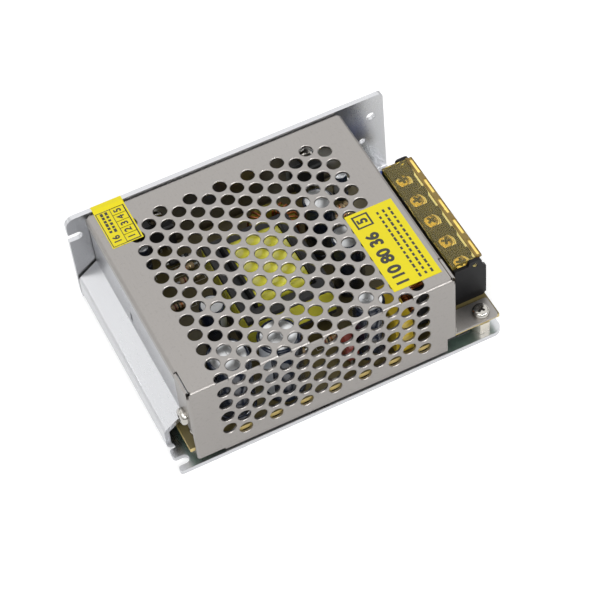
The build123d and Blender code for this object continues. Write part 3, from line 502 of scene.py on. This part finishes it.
FACES_UP = 0.9
WINDOW_FLOOR = 25.5
WINDOW_FROM_X = 52.8
STRIP_FROM_X = 52.6
STRIP_UNDERSIDE = 25.05
RIB_FROM_X = 51.9
RIB_FOOT = 25.9
CHIP_X = -38.3
CHIP_HALF_WIDTH = 3.2
TAB_FRONT = 36.7
FUSE_PLACE = (34.5, -3.5)
FUSE_HEIGHT = 11.0
FUSE_HALF_GLASS = 6.0
HAIR = 0.01
SLACK = 0.05


def lid_part(middle, normal):
    """Clear plate, window floors painted bright as a highlight, and a front strip round them painted darker
    as shade.
    """
    if normal.z > FACES_UP and abs(middle.z - WINDOW_FLOOR) < 0.2 and middle.x > WINDOW_FROM_X:
        return 1
    # The rib and the front strip are painted dark as shade.
    rib = middle.x > RIB_FROM_X and middle.z > RIB_FOOT
    strip = middle.x > STRIP_FROM_X and middle.z > STRIP_UNDERSIDE
    return 2 if rib or strip else 0


def leads_below(height):
    """Paints everything under a height over the board as a tinned lead."""
    return lambda middle, normal: int(middle.z < BOARD_TOP + height - HAIR)


# The lid's window floors get a painted highlight, and its front strip and rib get painted shade.
dress("terminal_lid", 0.12, ["lid_amber", "lid_window_painted_highlight", "lid_strip_painted_shade"], lid_part)
# Upward faces are painted darker as shade. The edges keep the laminate colour and the underside keeps the
# solder mask.
dress("board", 0.06, ["board_laminate", "board_top_painted_shade", "board_mask"],
      lambda middle, normal: 1 if normal.z > FACES_UP else 2 if normal.z < -FACES_UP else 0)
dress("inrush_thermistor", 0.3, ["disc_lacquer", LEAD_TIN], leads_below(2.0))
dress("bridge_rectifier", 0.15, ["black_package", LEAD_TIN], leads_below(2.0))
dress("indicator_lamp", 0.25, ["lamp_plastic", LEAD_TIN], leads_below(1.0))
dress("control_chip", 0.12, ["black_package", LEAD_TIN],
      lambda middle, normal: int(abs(middle.x - CHIP_X) > CHIP_HALF_WIDTH + SLACK))
device_leads = leads_below(4.0)
for device in ("power_transistor", "power_rectifier"):
    dress(device, 0.12, ["black_package", LEAD_TIN],
          lambda middle, normal: int(middle.y > TAB_FRONT - SLACK or device_leads(middle, normal)))
dress("fuse", 0.15, ["fuse_glass", LEAD_TIN],
      lambda middle, normal: int(abs(middle.y - FUSE_PLACE[1]) > FUSE_HALF_GLASS - SLACK))


# Turned parts

def turned(profile, steps=48):
    """A bmesh turned round Z from radius and height pairs in millimetres, from its bottom to its top."""
    shape = bmesh.new()
    chain = [shape.verts.new((radius * MM, 0, level * MM)) for radius, level in profile]
    edges = [shape.edges.new(pair) for pair in zip(chain, chain[1:])]
    bmesh.ops.spin(shape, geom=chain + edges, axis=(0, 0, 1), cent=(0, 0, 0), steps=steps,
                   angle=math.tau, use_duplicate=False)
    bmesh.ops.remove_doubles(shape, verts=shape.verts, dist=MADE_MERGE * MM)
    return shape


def crossed_recess_tree():
    """Two crossed, tapered blades cut into a turned part: a screw's driver recess or a can's vent score."""
    tree, given, out = rule_tree("crossed_recess", {
        "Top": 2.0 * MM, "Reach": 1.5 * MM, "Width": 0.8 * MM, "Depth": 1.2 * MM, "Taper": 0.5})
    wide = product(tree, given["Reach"], math.sqrt(2.0))
    low = product(tree, wide, maths(tree, "SUBTRACT", 1.0, given["Taper"]))
    blade = add(tree, "GeometryNodeMeshCone", {"fill_type": "NGON"}, {
        "Vertices": 4, "Depth": product(tree, given["Depth"], 2.0), "Radius Bottom": low,
        "Radius Top": maths(tree, "ADD", wide, maths(tree, "SUBTRACT", wide, low))})
    squared = transformed(tree, blade.outputs["Mesh"], Rotation=(0, 0, math.radians(45)))
    thin = maths(tree, "DIVIDE", product(tree, given["Width"], 0.5), given["Reach"])
    slim = transformed(tree, squared, Scale=vector_of(tree, 1.0, thin, 1.0))
    sunk = vector_of(tree, z=maths(tree, "SUBTRACT", given["Top"], given["Depth"]))
    blades = [transformed(tree, slim, Translation=sunk, Rotation=(0, 0, turn)) for turn in (0, QUARTER)]
    return end_tree(tree, given, out, boolean(tree, "DIFFERENCE", blades, given["Geometry"]))


CROSSED_RECESS = crossed_recess_tree()
end = FUSE_HALF_GLASS
fuse_wire = mesh_from(turned([(0, -end), (0.14, -end), (0.09, 0), (0.14, end), (0, end)], 12), "fuse_wire")
moved(fuse_wire, *FUSE_PLACE, FUSE_HEIGHT, Matrix.Rotation(QUARTER, 4, "X"))
put("fuse_wire", fuse_wire, "case", (), ["copper_wire"])


def pan_head_screw(name, finish_name, head_radius, head_height, shank_radius, shank_length, pitch):
    """A cross-headed screw with a domed head and a ridged thread, its seat at the origin, its head upward."""
    root = shank_radius * 0.84
    profile = [(0, -shank_length), (shank_radius * 0.6, -shank_length),
               (shank_radius * 0.85, -shank_length + 0.3)]
    for ridge in range(int((shank_length - 1.2) / pitch)):
        level = -shank_length + 0.4 + ridge * pitch
        profile += [(root, level), (shank_radius, level + pitch * 0.5)]
    profile += [(root, -0.5), (root, 0), (head_radius - 0.1, 0)]
    dome_steps, dome_turn = 7, math.radians(84)
    for step in range(dome_steps + 1):
        turn = step / dome_steps * dome_turn
        profile.append((head_radius * (0.62 + 0.38 * math.cos(turn)),
                        head_height * (0.3 + 0.66 * math.sin(turn))))
    profile.append((0, head_height))
    mesh = shape_from_rule(name, CROSSED_RECESS, finish_name, {
        "Top": head_height * MM, "Reach": head_radius * 0.5 * MM, "Width": head_radius * 0.3 * MM,
        "Depth": head_height * 0.62 * MM, "Taper": 0.55}, plain_mesh(turned(profile), name + "_blank"))
    mesh = smoothed(mesh, name, 38.0)
    reach = head_radius * 0.52

    # Picks the faces in the cross recess, which are painted dark as shade.
    def in_recess(middle, normal):
        inside = math.hypot(middle.x, middle.y) < reach and middle.z > head_height * 0.3
        return int(inside and (abs(normal.z) < 0.8 or middle.z < head_height * 0.6))
    paint(mesh, [finish_name, "recess_grime"], in_recess)
    return mesh


def repeat_tree():
    """Copies of one part on every point of a mesh, each turned by its own fixed chance."""
    tree, given, out = rule_tree("copies_on_points", {
        "Part": None, "Rotation": (0.0, 0.0, 0.0), "Turn Change": 0.0, "Seed": 1})
    part = add(tree, "GeometryNodeObjectInfo", values={"Object": given["Part"]})
    back = product(tree, given["Turn Change"], -1.0)
    chance = chance_value(tree, back, given["Turn Change"], given["Seed"])
    own_turn = add(tree, "FunctionNodeEulerToRotation", values={0: vector_of(tree, z=chance)})
    all_turn = add(tree, "FunctionNodeEulerToRotation", values={0: given["Rotation"]})
    turn = add(tree, "FunctionNodeRotateRotation", {"rotation_space": "LOCAL"}, {
        0: all_turn.outputs[0], 1: own_turn.outputs[0]})
    placed = on_points(tree, given["Geometry"], part.outputs["Geometry"], Rotation=turn.outputs[0])
    slot_number = add(tree, "GeometryNodeInputMaterialIndex").outputs[0]
    return end_tree(tree, given, out, placed, maths(tree, "LESS_THAN", slot_number, 0.5))


COPIES = repeat_tree()


def copies(name, part_mesh, places, finish_name, rotation=(0, 0, 0), turn_change=0.0, seed=1):
    """One mesh with a copy of a part at each place."""
    part = linked(name + "_part", part_mesh)
    points = bpy.data.meshes.new(name + "_points")
    points.from_pydata([Vector(place) * MM for place in places], [], [])
    values = {"Part": part, "Rotation": rotation, "Turn Change": turn_change, "Seed": seed}
    mesh = shape_from_rule(name, COPIES, finish_name, values, points)
    bpy.data.objects.remove(part)
    return mesh


# Screws

WAY_PLACES = [-24.0, -14.5, -5.0, 4.5, 14.0]
CLAMP_X = 49.0
CLAMP_SEAT = 18.5
CLAMP_RISE_A_TURN = 0.6
# name: seats, turn of all, most of each one's own turn, seed, shank length, CAD nodes
CASE_SCREWS = {
    "board_screws": ([(49.4, -35.8, 8.8), (-45.4, -32.9, 8.0), (-45.4, 32.3, 8.0), (36.3, 32.3, 8.0)],
                     (0, 0, 0), 0.8, 3, 5.5, [f"board_screw_{number}" for number in range(1, 5)]),
    "side_screw": ([(-48.9, -34.7, 20.3)], (0, -QUARTER, 0), 0.6, 5, 6.0, ["cover_screw"]),
    "device_screws": ([(-27.3, 36.7, 24.6), (25.2, 36.7, 24.6)], (QUARTER, 0, 0), 1.0, 2, 3.3,
                      ["transistor_screw", "rectifier_screw"])}
for screw_name, (seats, turn_of_all, own_turn, own_seed, shank, stood_for) in CASE_SCREWS.items():
    screw = pan_head_screw(screw_name + "_one", "plated_screws", head_radius=2.8, head_height=2.1,
                           shank_radius=1.5, shank_length=shank, pitch=0.5)
    screws = copies(screw_name, screw, seats, "plated_screws", turn_of_all, own_turn, own_seed)
    put(screw_name, screws, "case", stood_for)
clamp_screw = pan_head_screw("clamp_screw", "terminal_screws", head_radius=3.2, head_height=2.7,
                             shank_radius=1.75, shank_length=6.5, pitch=CLAMP_RISE_A_TURN)
for number, way in enumerate(WAY_PLACES, start=1):
    screw_name = f"clamp_screw_{number}"
    screw = copies(screw_name, clamp_screw, [(CLAMP_X, way, CLAMP_SEAT)], "terminal_screws",
                   turn_change=0.7, seed=number)
    put(screw_name, screw, f"screw_{number}", [f"terminal_screw_{number}"])


# Can capacitors: shrunk sleeve over a grooved can, bare top with a crossed vent
# name: X, Y, radius and top of each can; the small ones stand for no CAD node

CANS = {"bulk_capacitor_1": (-31.7, -30.1, 6.6, 33.1), "bulk_capacitor_2": (-15.4, -30.6, 6.6, 33.1),
        "output_capacitor_1": (18.4, 11.5, 5.0, 32.1), "output_capacitor_2": (19.4, -6.0, 5.0, 32.1),
        "output_capacitor_3": (14.0, -31.0, 5.0, 32.1), "bias_capacitor": (-26.5, -6.0, 4.0, 27.1),
        "small_can_1": (-34.5, 32.0, 2.5, 19.0), "small_can_2": (33.5, 28.6, 2.5, 19.0),
        "small_can_3": (-45.5, 19.0, 2.5, 19.0)}


def can(node, x, y, radius, top):
    """One capacitor with its stripe, groove, sleeve lip and scored top."""
    high = top - BOARD_TOP
    bare = radius * 0.84
    plate = high - 0.2
    groove, groove_half = 2.6, 0.7
    profile = [(0, 0.3), (radius - 0.6, 0.3), (radius - 0.4, 0), (radius - 0.15, 0.05), (radius, 0.3),
               (radius, groove - groove_half), (radius - 0.12, groove - 0.45), (radius - 0.42, groove - 0.2),
               (radius - 0.45, groove), (radius - 0.42, groove + 0.2), (radius - 0.12, groove + 0.45),
               (radius, groove + groove_half), (radius, high - 0.7), (radius - 0.1, high - 0.3),
               (radius - 0.3, high - 0.08), (radius - 0.55, high), (bare, high),
               (bare - 0.05, high - 0.12), (bare - 0.3, plate), (0, plate)]
    mesh = shape_from_rule(node, CROSSED_RECESS, "can_top", {
        "Top": plate * MM, "Reach": radius * 0.5 * MM, "Width": 0.32 * MM, "Depth": 0.16 * MM,
        "Taper": 0.3}, plain_mesh(turned(profile, 64), node + "_blank"))
    mesh = smoothed(mesh, node + "_can", 40.0)
    stripe_half = math.radians(24)

    def can_face(middle, normal):
        if math.hypot(middle.x, middle.y) < bare - 0.02 and middle.z > high - 1:
            return 1
        on_stripe = abs(math.atan2(middle.x, -middle.y)) < stripe_half
        return 2 if on_stripe and middle.z > groove + groove_half and abs(normal.z) < 0.2 else 0
    paint(mesh, ["dark_sleeve", "can_top", "sleeve_stripe"], can_face)
    stands_turned = math.radians(35 * x + 20 * y)
    moved(mesh, x, y, BOARD_TOP, Matrix.Rotation(stands_turned, 4, "Z"))
    put(node + "_can", mesh, "case", [node] if node in SLOTS else ())


for can_node, can_sizes in CANS.items():
    can(can_node, *can_sizes)


# Wound parts

def winding_tree():
    """Wire wound round a section, which runs round a ring, or along a straight bar when Straight is 1."""
    tree, given, out = rule_tree("wound_wire", {
        "Turns": 20, "Steps": 20, "Wire Radius": 0.4 * MM, "Ring Radius": 6.0 * MM, "Half Across": 2.0 * MM,
        "Half High": 4.0 * MM, "Start Angle": 0.2, "End Angle": 6.0, "Bar Length": 8.0 * MM, "Straight": 0.0,
        "Squareness": 0.45})
    count = product(tree, given["Turns"], given["Steps"])
    line = add(tree, "GeometryNodeMeshLine", values={"Count": maths(tree, "ADD", count, 1.0)})
    number = add(tree, "GeometryNodeInputIndex").outputs[0]
    share = maths(tree, "DIVIDE", number, count)
    turn = product(tree, share, given["Turns"], math.tau)

    def squared(operation, half):
        wave = maths(tree, operation, turn)
        size = maths(tree, "POWER", maths(tree, "ABSOLUTE", wave), given["Squareness"])
        return product(tree, maths(tree, "SIGN", wave), size, given[half])

    across = squared("COSINE", "Half Across")
    high = squared("SINE", "Half High")
    sweep = maths(tree, "SUBTRACT", given["End Angle"], given["Start Angle"])
    angle = maths(tree, "MULTIPLY_ADD", share, sweep, given["Start Angle"])
    radius = maths(tree, "ADD", across, given["Ring Radius"])
    ringed = vector_of(tree, product(tree, radius, maths(tree, "COSINE", angle)),
                       product(tree, radius, maths(tree, "SINE", angle)), high)
    along = product(tree, maths(tree, "SUBTRACT", share, 0.5), given["Bar Length"])
    first, second = 4, 5
    chosen = add(tree, "ShaderNodeMix", {"data_type": "VECTOR"}, {
        0: given["Straight"], first: ringed, second: vector_of(tree, across, along, high)})
    laid = add(tree, "GeometryNodeSetPosition", values={
        "Geometry": line.outputs["Mesh"], "Position": chosen.outputs[1]})
    curve = add(tree, "GeometryNodeMeshToCurve", values={0: laid.outputs[0]})
    section = add(tree, "GeometryNodeCurvePrimitiveCircle", values={
        "Resolution": 8, "Radius": given["Wire Radius"]})
    wire = add(tree, "GeometryNodeCurveToMesh", values={
        "Curve": curve.outputs[0], "Profile Curve": section.outputs["Curve"], "Fill Caps": True})
    return end_tree(tree, given, out, wire.outputs[0])


WOUND_WIRE = winding_tree()
CHOKE_TURNS = {"Turns": 21, "Wire Radius": 0.42 * MM, "Ring Radius": 5.8 * MM, "Half Across": 2.25 * MM,
               "Half High": 3.7 * MM, "Start Angle": math.radians(106), "End Angle": math.radians(434)}
FILTER_TURNS = {"Turns": 8, "Wire Radius": 0.46 * MM, "Half Across": 3.3 * MM, "Half High": 2.4 * MM,
                "Bar Length": 7.0 * MM, "Straight": 1.0, "Squareness": 0.3}


def wound(name, place, values, node):
    """A winding at a place, standing for its CAD node."""
    mesh = smoothed(shape_from_rule(name, WOUND_WIRE, "copper_wire", values), name, 60.0)
    put(name, moved(mesh, *place), "case", [node], ["copper_wire"])


wound("choke_wire_turns", (7.35, 24.0, 12.15), CHOKE_TURNS, "output_choke_winding")
for number, level in ((1, 11.0), (2, 20.8)):
    wound(f"filter_wire_turns_{number}", (33.0, -24.0, level), FILTER_TURNS, f"line_filter_coil_{number}")


# Transformer: tape layers over the coil and a band of tape round the core

def taped_band(x0, x1, half_y, half_z):
    """One band of tape as a bmesh: a rounded rectangle drawn along X, with rolled-in edges."""
    shape = bmesh.new()
    coil_y, coil_z = -1.8, 22.1
    corner = 0.22
    steps = 72
    rolled_in = [(0, 0.3), (0.15, 0.05), (0.6, 0.0)]
    rims = [(x0 + inward, shrink) for inward, shrink in rolled_in]
    rims += [(x1 - inward, shrink) for inward, shrink in reversed(rolled_in)]
    loops = []
    for x, shrink in rims:
        loop = []
        for step in range(steps):
            turn = math.tau * step / steps
            y = math.copysign(abs(math.cos(turn)) ** corner, math.cos(turn)) * (half_y - shrink)
            z = math.copysign(abs(math.sin(turn)) ** corner, math.sin(turn)) * (half_z - shrink)
            loop.append(shape.verts.new((x * MM, (coil_y + y) * MM, (coil_z + z) * MM)))
        loops.append(loop)
    for lower, upper in zip(loops, loops[1:]):
        for step in range(steps):
            after = (step + 1) % steps
            shape.faces.new((lower[step], lower[after], upper[after], upper[step]))
    shape.faces.new(reversed(loops[0]))
    shape.faces.new(loops[-1])
    return shape


# ends, half width and half height of each layer, each shorter and higher than the last
COIL_LAYERS = [(-14.7, 3.1, 12.2, 9.7), (-13.2, 1.9, 12.32, 9.8), (-9.6, -0.4, 12.4, 9.88)]
coil = bmesh.new()
for layer in COIL_LAYERS:
    coil.from_mesh(plain_mesh(taped_band(*layer), "coil_tape_layer"))
put("coil_tape", mesh_from(coil, "coil_tape"), "case", ["transformer_winding"],
    ["winding_tape"])


def core_tape():
    """The tape round the outside of the core."""
    shape = bmesh.new()
    x0, x1, y0, y1 = -20.45, 8.85, -18.95, 15.35
    foot, top = 17.4, 26.8
    corner, thickness = 0.4, 0.12
    plan = [(x0 + corner, y0), (x1 - corner, y0), (x1, y0 + corner), (x1, y1 - corner),
            (x1 - corner, y1), (x0 + corner, y1), (x0, y1 - corner), (x0, y0 + corner)]
    lower, upper = [[shape.verts.new((x * MM, y * MM, z * MM)) for x, y in plan] for z in (foot, top)]
    sides = []
    for n in range(len(plan)):
        after = (n + 1) % len(plan)
        sides.append(shape.faces.new((lower[n], lower[after], upper[after], upper[n])))
    bmesh.ops.recalc_face_normals(shape, faces=sides)
    bmesh.ops.solidify(shape, geom=sides, thickness=thickness * MM)
    return mesh_from(shape, "core_tape", 60.0)


put("core_tape", core_tape(), "case", (), ["winding_tape"])


# Small parts on the board, each kind one part repeated

def axial_part(name, finish_name, bands):
    """A small wire-ended part lying along X, its bands given as start, end and finish."""
    half, lead, wire, waist, end = 3.4, 4.6, 0.3, 0.98, 1.12
    edges = sorted({edge for band in bands for edge in band[:2]})
    profile = [(0, -lead), (wire, -lead), (wire, -half), (0.75, -half), (1.1, -half + 0.4),
               (end, -half + 0.8), *[(waist, edge) for edge in edges], (end, half - 0.8),
               (1.1, half - 0.4), (0.75, half), (wire, half), (wire, lead), (0, lead)]
    mesh = mesh_from(turned(profile, 20), name, 50.0)
    mesh.transform(Matrix.Rotation(QUARTER, 4, "Y"))

    def axial_face(middle, normal):
        if abs(middle.x) > half:
            return 1
        inside = [n for n, (first, last, band) in enumerate(bands) if first < middle.x < last]
        return inside[0] + 2 if inside else 0
    paint(mesh, [finish_name, LEAD_TIN, *[band[2] for band in bands]], axial_face)
    return mesh


def ceramic_disc():
    """A small lacquered disc standing on edge."""
    half_profile = [(2.95, -0.25), (2.5, -0.7), (1.6, -0.95), (0, -1.0)]
    profile = [*reversed(half_profile), *[(radius, -level) for radius, level in half_profile]]
    mesh = mesh_from(turned(profile, 28), "ceramic_disc", 60.0)
    mesh.transform(Matrix.Rotation(QUARTER, 4, "X"))
    coat(mesh, ["blue_lacquer"])
    return mesh


AXIAL_Z = BOARD_TOP + 1.2
DISC_Z = BOARD_TOP + 3.1
RESISTOR_PLACES = [(-40.0, 8.0), (-40.0, 4.5), (-33.0, -16.0), (-24.0, 20.5), (-24.0, 25.0), (-8.0, 19.5),
                   (-8.0, -22.5), (4.0, -22.5), (30.0, 20.0), (30.0, 23.5), (22.0, -15.5), (-31.0, 12.0)]
DIODE_PLACES = [(-34.0, -19.8), (30.5, 15.0), (-24.0, 29.2), (-38.0, 27.5)]
DISC_PLACES = [(-14.0, 25.5), (-5.0, 28.0), (38.6, 13.0), (-46.3, 10.0), (39.0, 2.0)]
RESISTOR_BANDS = [(-2.1, -1.6, "disc_lacquer"), (-1.0, -0.5, "black_package"), (0.1, 0.6, "copper_wire"),
                  (1.6, 2.1, "terminal_screws")]
resistor = axial_part("resistor", "resistor_lacquer", RESISTOR_BANDS)
diode = axial_part("diode", "black_package", [(1.2, 2.0, "can_top")])
# name: part, places, height, finish, most of each one's own turn, seed, slot
SMALL_PARTS = {
    "board_resistors": (resistor, RESISTOR_PLACES, AXIAL_Z, "resistor_lacquer", 0.0, 1, "disc_lacquer"),
    "board_diodes": (diode, DIODE_PLACES, AXIAL_Z, "black_package", 0.0, 1, "black_package"),
    "board_discs": (ceramic_disc(), DISC_PLACES, DISC_Z, "blue_lacquer", 0.5, 4, "trimmer_plastic")}
for row_name, (part, places, height, finish_name, own_turn, own_seed, slot) in SMALL_PARTS.items():
    stood = [(*place, height) for place in places]
    row = copies(row_name, part, stood, finish_name, turn_change=own_turn, seed=own_seed)
    put(row_name, row, "case")


# Print on the board and the labels

def bars_tree():
    """Rows of short printed bars, their lengths by chance."""
    tree, given, out = rule_tree("printed_rows", {
        "Rows": 3, "Bars per Row": 9, "Bar Pitch": 3.0 * MM, "Row Pitch": 2.0 * MM, "Bar Height": 0.9 * MM,
        "Shortest": 0.5, "Longest": 0.85, "Seed": 4})
    number = add(tree, "GeometryNodeInputIndex").outputs[0]
    row = maths(tree, "FLOOR", maths(tree, "DIVIDE", number, given["Bars per Row"]))
    bar = maths(tree, "SUBTRACT", number, product(tree, row, given["Bars per Row"]))
    along = product(tree, bar, given["Bar Pitch"])
    down = product(tree, row, -1.0, given["Row Pitch"])
    points = add(tree, "GeometryNodePoints", values={
        "Count": product(tree, given["Rows"], given["Bars per Row"]),
        "Position": vector_of(tree, along, down)})
    stroke = add(tree, "GeometryNodeMeshGrid", values={
        "Vertices X": 2, "Vertices Y": 2, "Size X": given["Bar Pitch"], "Size Y": given["Bar Height"]})
    length = chance_value(tree, given["Shortest"], given["Longest"], given["Seed"])
    placed = on_points(tree, points.outputs[0], stroke.outputs["Mesh"],
                       Scale=vector_of(tree, length, 1.0, 1.0))
    return end_tree(tree, given, out, placed)


def figures_tree():
    """Plain figures as flat filled shapes with thickened strokes."""
    tree, given, out = rule_tree("printed_figures", {"Figures": "1", "Size": 3.0 * MM, "Boldness": 0.1 * MM})
    words = add(tree, "GeometryNodeStringToCurves", {"align_x": "CENTER", "align_y": "MIDDLE"}, {
        "String": given["Figures"], "Size": given["Size"]}).outputs[0]
    filled = add(tree, "GeometryNodeFillCurve", values={0: words})
    section = add(tree, "GeometryNodeCurvePrimitiveCircle", values={
        "Resolution": 4, "Radius": given["Boldness"]})
    stroke = add(tree, "GeometryNodeCurveToMesh", values={
        "Curve": words, "Profile Curve": section.outputs["Curve"]})
    pressed = transformed(tree, stroke.outputs[0], Scale=(1, 1, 0.02))
    both = add(tree, "GeometryNodeJoinGeometry", values={0: pressed})
    tree.links.new(filled.outputs[0], both.inputs[0])
    return end_tree(tree, given, out, both.outputs[0])


PRINTED_ROWS = bars_tree()
PRINTED_FIGURES = figures_tree()
ALONG_Y = Matrix.Rotation(QUARTER, 4, "Z")
PRINT_Z = 35.615


def figures(text, size, x, y, bold=0.035, z=PRINT_Z):
    """Figures that read along Y, centred on a place, their strokes thickened by a share of their size."""
    values = {"Figures": text, "Size": size * MM, "Boldness": size * bold * MM}
    return moved(shape_from_rule("figures", PRINTED_FIGURES, "print_black", values), x, y, z, ALONG_Y)


def printed_rows(values, x, y):
    """Rows of bars that read along Y, from their first bar's place."""
    return moved(shape_from_rule("rows", PRINTED_ROWS, "print_black", values), x, y, PRINT_Z, ALONG_Y)


def ruled_frame(x0, x1, y0, y1, line, z=PRINT_Z):
    """A thin rectangular outline."""
    mesh = bpy.data.meshes.new("rule")
    corners = [(x0, y0), (x1, y0), (x1, y1), (x0, y1)]
    inner = [(x0 + line, y0 + line), (x1 - line, y0 + line), (x1 - line, y1 - line), (x0 + line, y1 - line)]
    mesh.from_pydata([(x * MM, y * MM, z * MM) for x, y in corners + inner], [],
                     [(n, (n + 1) % 4, 4 + (n + 1) % 4, 4 + n) for n in range(4)])
    return mesh


def board_marks():
    """An outline round each small part and the trimmer, and a figure beside each way."""
    level = BOARD_TOP + 0.02
    axial_half, disc_half, trimmer_half = (5.0, 1.5), (3.6, 1.8), (3.8, 3.8)
    trimmer_place = (49.7, 24.5)
    outlines = [(place, axial_half, 0.16) for place in RESISTOR_PLACES + DIODE_PLACES]
    outlines += [(place, disc_half, 0.16) for place in DISC_PLACES]
    outlines.append((trimmer_place, trimmer_half, 0.2))
    marks = [ruled_frame(x - half_x, x + half_x, y - half_y, y + half_y, line, level)
             for (x, y), (half_x, half_y), line in outlines]
    figure_size, figure_x = 2.4, 42.4
    return marks + [figures(str(number), figure_size, figure_x, way, z=level)
                    for number, way in enumerate(WAY_PLACES, start=1)]


def top_label_print():
    """The overall sizes as plain figures, the number of ways in a frame, and rows of bars."""
    middle_x, heavy = 25.2, 0.045
    rows = {"Rows": 3, "Bars per Row": 15, "Bar Pitch": 1.95 * MM, "Row Pitch": 2.0 * MM,
            "Bar Height": 0.75 * MM, "Longest": 0.9}
    return [figures("110 80 36", 5.6, middle_x, -22.6, heavy), ruled_frame(22.5, 27.9, -8.4, -3.0, 0.6),
            figures("5", 4.4, middle_x, -5.7, heavy), printed_rows(rows, 30.6, -32.6)]


def seal_label_print():
    """A ruled grid with plain figures and rows of bars."""
    cell, figure_size = 2.9, 3.2
    starts = [22.2 + cell * n for n in range(5)]
    marks = [ruled_frame(-45.6, -36.2, 22.0, 36.9, 0.25)]
    marks += [ruled_frame(-41.0, -36.4, start, start + cell + 0.2, 0.2) for start in starts]
    marks += [figures(str(number), figure_size, -38.7, start + 1.55)
              for number, start in enumerate(starts, start=1)]
    rows = {"Rows": 2, "Bars per Row": 6, "Bar Pitch": 1.5 * MM, "Row Pitch": 1.5 * MM,
            "Bar Height": 0.9 * MM, "Seed": 8, "Longest": 0.95}
    return marks + [figures("16", figure_size, -43.2, 24.6), printed_rows(rows, -43.9, 28.2)]


def printed(name, meshes, ink="print_black"):
    """Joins flat prints into one piece, facing up."""
    whole = bmesh.new()
    for mesh in meshes:
        whole.from_mesh(mesh)
    for face in whole.faces:
        if face.normal.z < 0:
            face.normal_flip()
    put(name, plain_mesh(whole, name), "case", (), [ink])


printed("board_marks", board_marks(), "print_white")
printed("top_label_print", top_label_print())
printed("seal_label_print", seal_label_print())


# Camera, light and floor

def aimed(name, data, spot, direction, up):
    """A camera or lamp at a spot that looks along a direction, with an upward vector."""
    back = -Vector(direction).normalized()
    right = Vector(up).cross(back).normalized()
    turn = Matrix((right, back.cross(right), back)).transposed().to_4x4()
    made = linked(name, data)
    made.matrix_world = Matrix.Translation(Vector(spot)) @ turn
    return made


def softbox(name, spot, size, power):
    """A large soft lamp that faces the supply."""
    lamp = bpy.data.lights.new(name, "AREA")
    lamp.shape = "RECTANGLE"
    lamp.size, lamp.size_y = size
    lamp.energy = power
    middle = Vector((0, 0, 0.02))
    aimed(name, lamp, spot, middle - Vector(spot), (0, 0.01, 1))


# The camera was fitted to the supply's three overall sizes
CAMERA_SPOT = (-0.14352, -0.38523, 0.52749)
CAMERA_LOOK = (0.2216, 0.5774, -0.7858)
CAMERA_UP = (0.3846, 0.6888, 0.6146)
camera = aimed("camera", bpy.data.cameras.new("camera"), CAMERA_SPOT, CAMERA_LOOK, CAMERA_UP)
camera.data.lens = 127.0
camera.data.sensor_width = 36.0
camera.data.clip_start = 0.01
bpy.context.scene.camera = camera
softbox("key_light", (-0.5, -0.35, 0.9), (0.7, 0.7), 4.0)
softbox("fill_light", (0.8, -0.5, 0.6), (0.8, 0.8), 1.4)
softbox("back_light", (0.3, 1.0, 1.5), (2.4, 1.8), 7.0)
softbox("bend_light", (0.3, -1.1, 0.82), (1.6, 0.10), 11.0)
softbox("left_sheen", (-0.95, 0.75, 0.48), (0.5, 0.3), 0.3)
softbox("edge_light", (-1.0, 0.74, 0.29), (1.0, 0.06), 1.0)

# The studio is white where it is looked at or mirrored, half as bright as a light, and dim near the floor
world = bpy.data.worlds.new("studio")
bpy.context.scene.world = world
world.use_nodes = True
sky = world.node_tree
ray = add(sky, "ShaderNodeLightPath").outputs
mirrored = maths(sky, "MAXIMUM", ray["Is Glossy Ray"], ray["Is Transmission Ray"])
seen = maths(sky, "MAXIMUM", ray["Is Camera Ray"], mirrored)
brightness = ramp(sky, seen, 0.0, 1.0, low=0.5)
sky_place = add(sky, "ShaderNodeTexCoord").outputs["Generated"]
sky_parts = add(sky, "ShaderNodeSeparateXYZ", values={0: sky_place})
rise = ramp(sky, sky_parts.outputs["Z"], 0.0, 0.55, low=0.3, course="SMOOTHSTEP")
dimmed = maths(sky, "MAXIMUM", rise, maths(sky, "SUBTRACT", 1.0, ray["Is Glossy Ray"]))
sky.links.new(product(sky, brightness, dimmed), sky.nodes["Background"].inputs["Strength"])
sky.nodes["Background"].inputs["Color"].default_value = (1, 1, 1, 1)

FLOOR_SPAN = 3.0
FLOOR_Z = -0.3 * MM
floor_mesh = bpy.data.meshes.new("floor")
floor_mesh.from_pydata([(x * FLOOR_SPAN, y * FLOOR_SPAN, FLOOR_Z)
                        for x, y in ((-1, -1), (1, -1), (1, 1), (-1, 1))], [], [(0, 1, 2, 3)])
floor_mesh.materials.append(finish("floor", (0.8, 0.8, 0.8), 0.8, grain=40, cloud=4, grain_tone=0.005,
                                   cloud_tone=0.005, bump=0.0, Emission_Color=(1, 1, 1, 1),
                                   Emission_Strength=0.3))
floor = linked("floor", floor_mesh)

for node_name, slot in SLOTS.items():
    coat(frame["nodes"][node_name].data, [slot])

bpy.context.scene.view_settings.view_transform = "Standard"
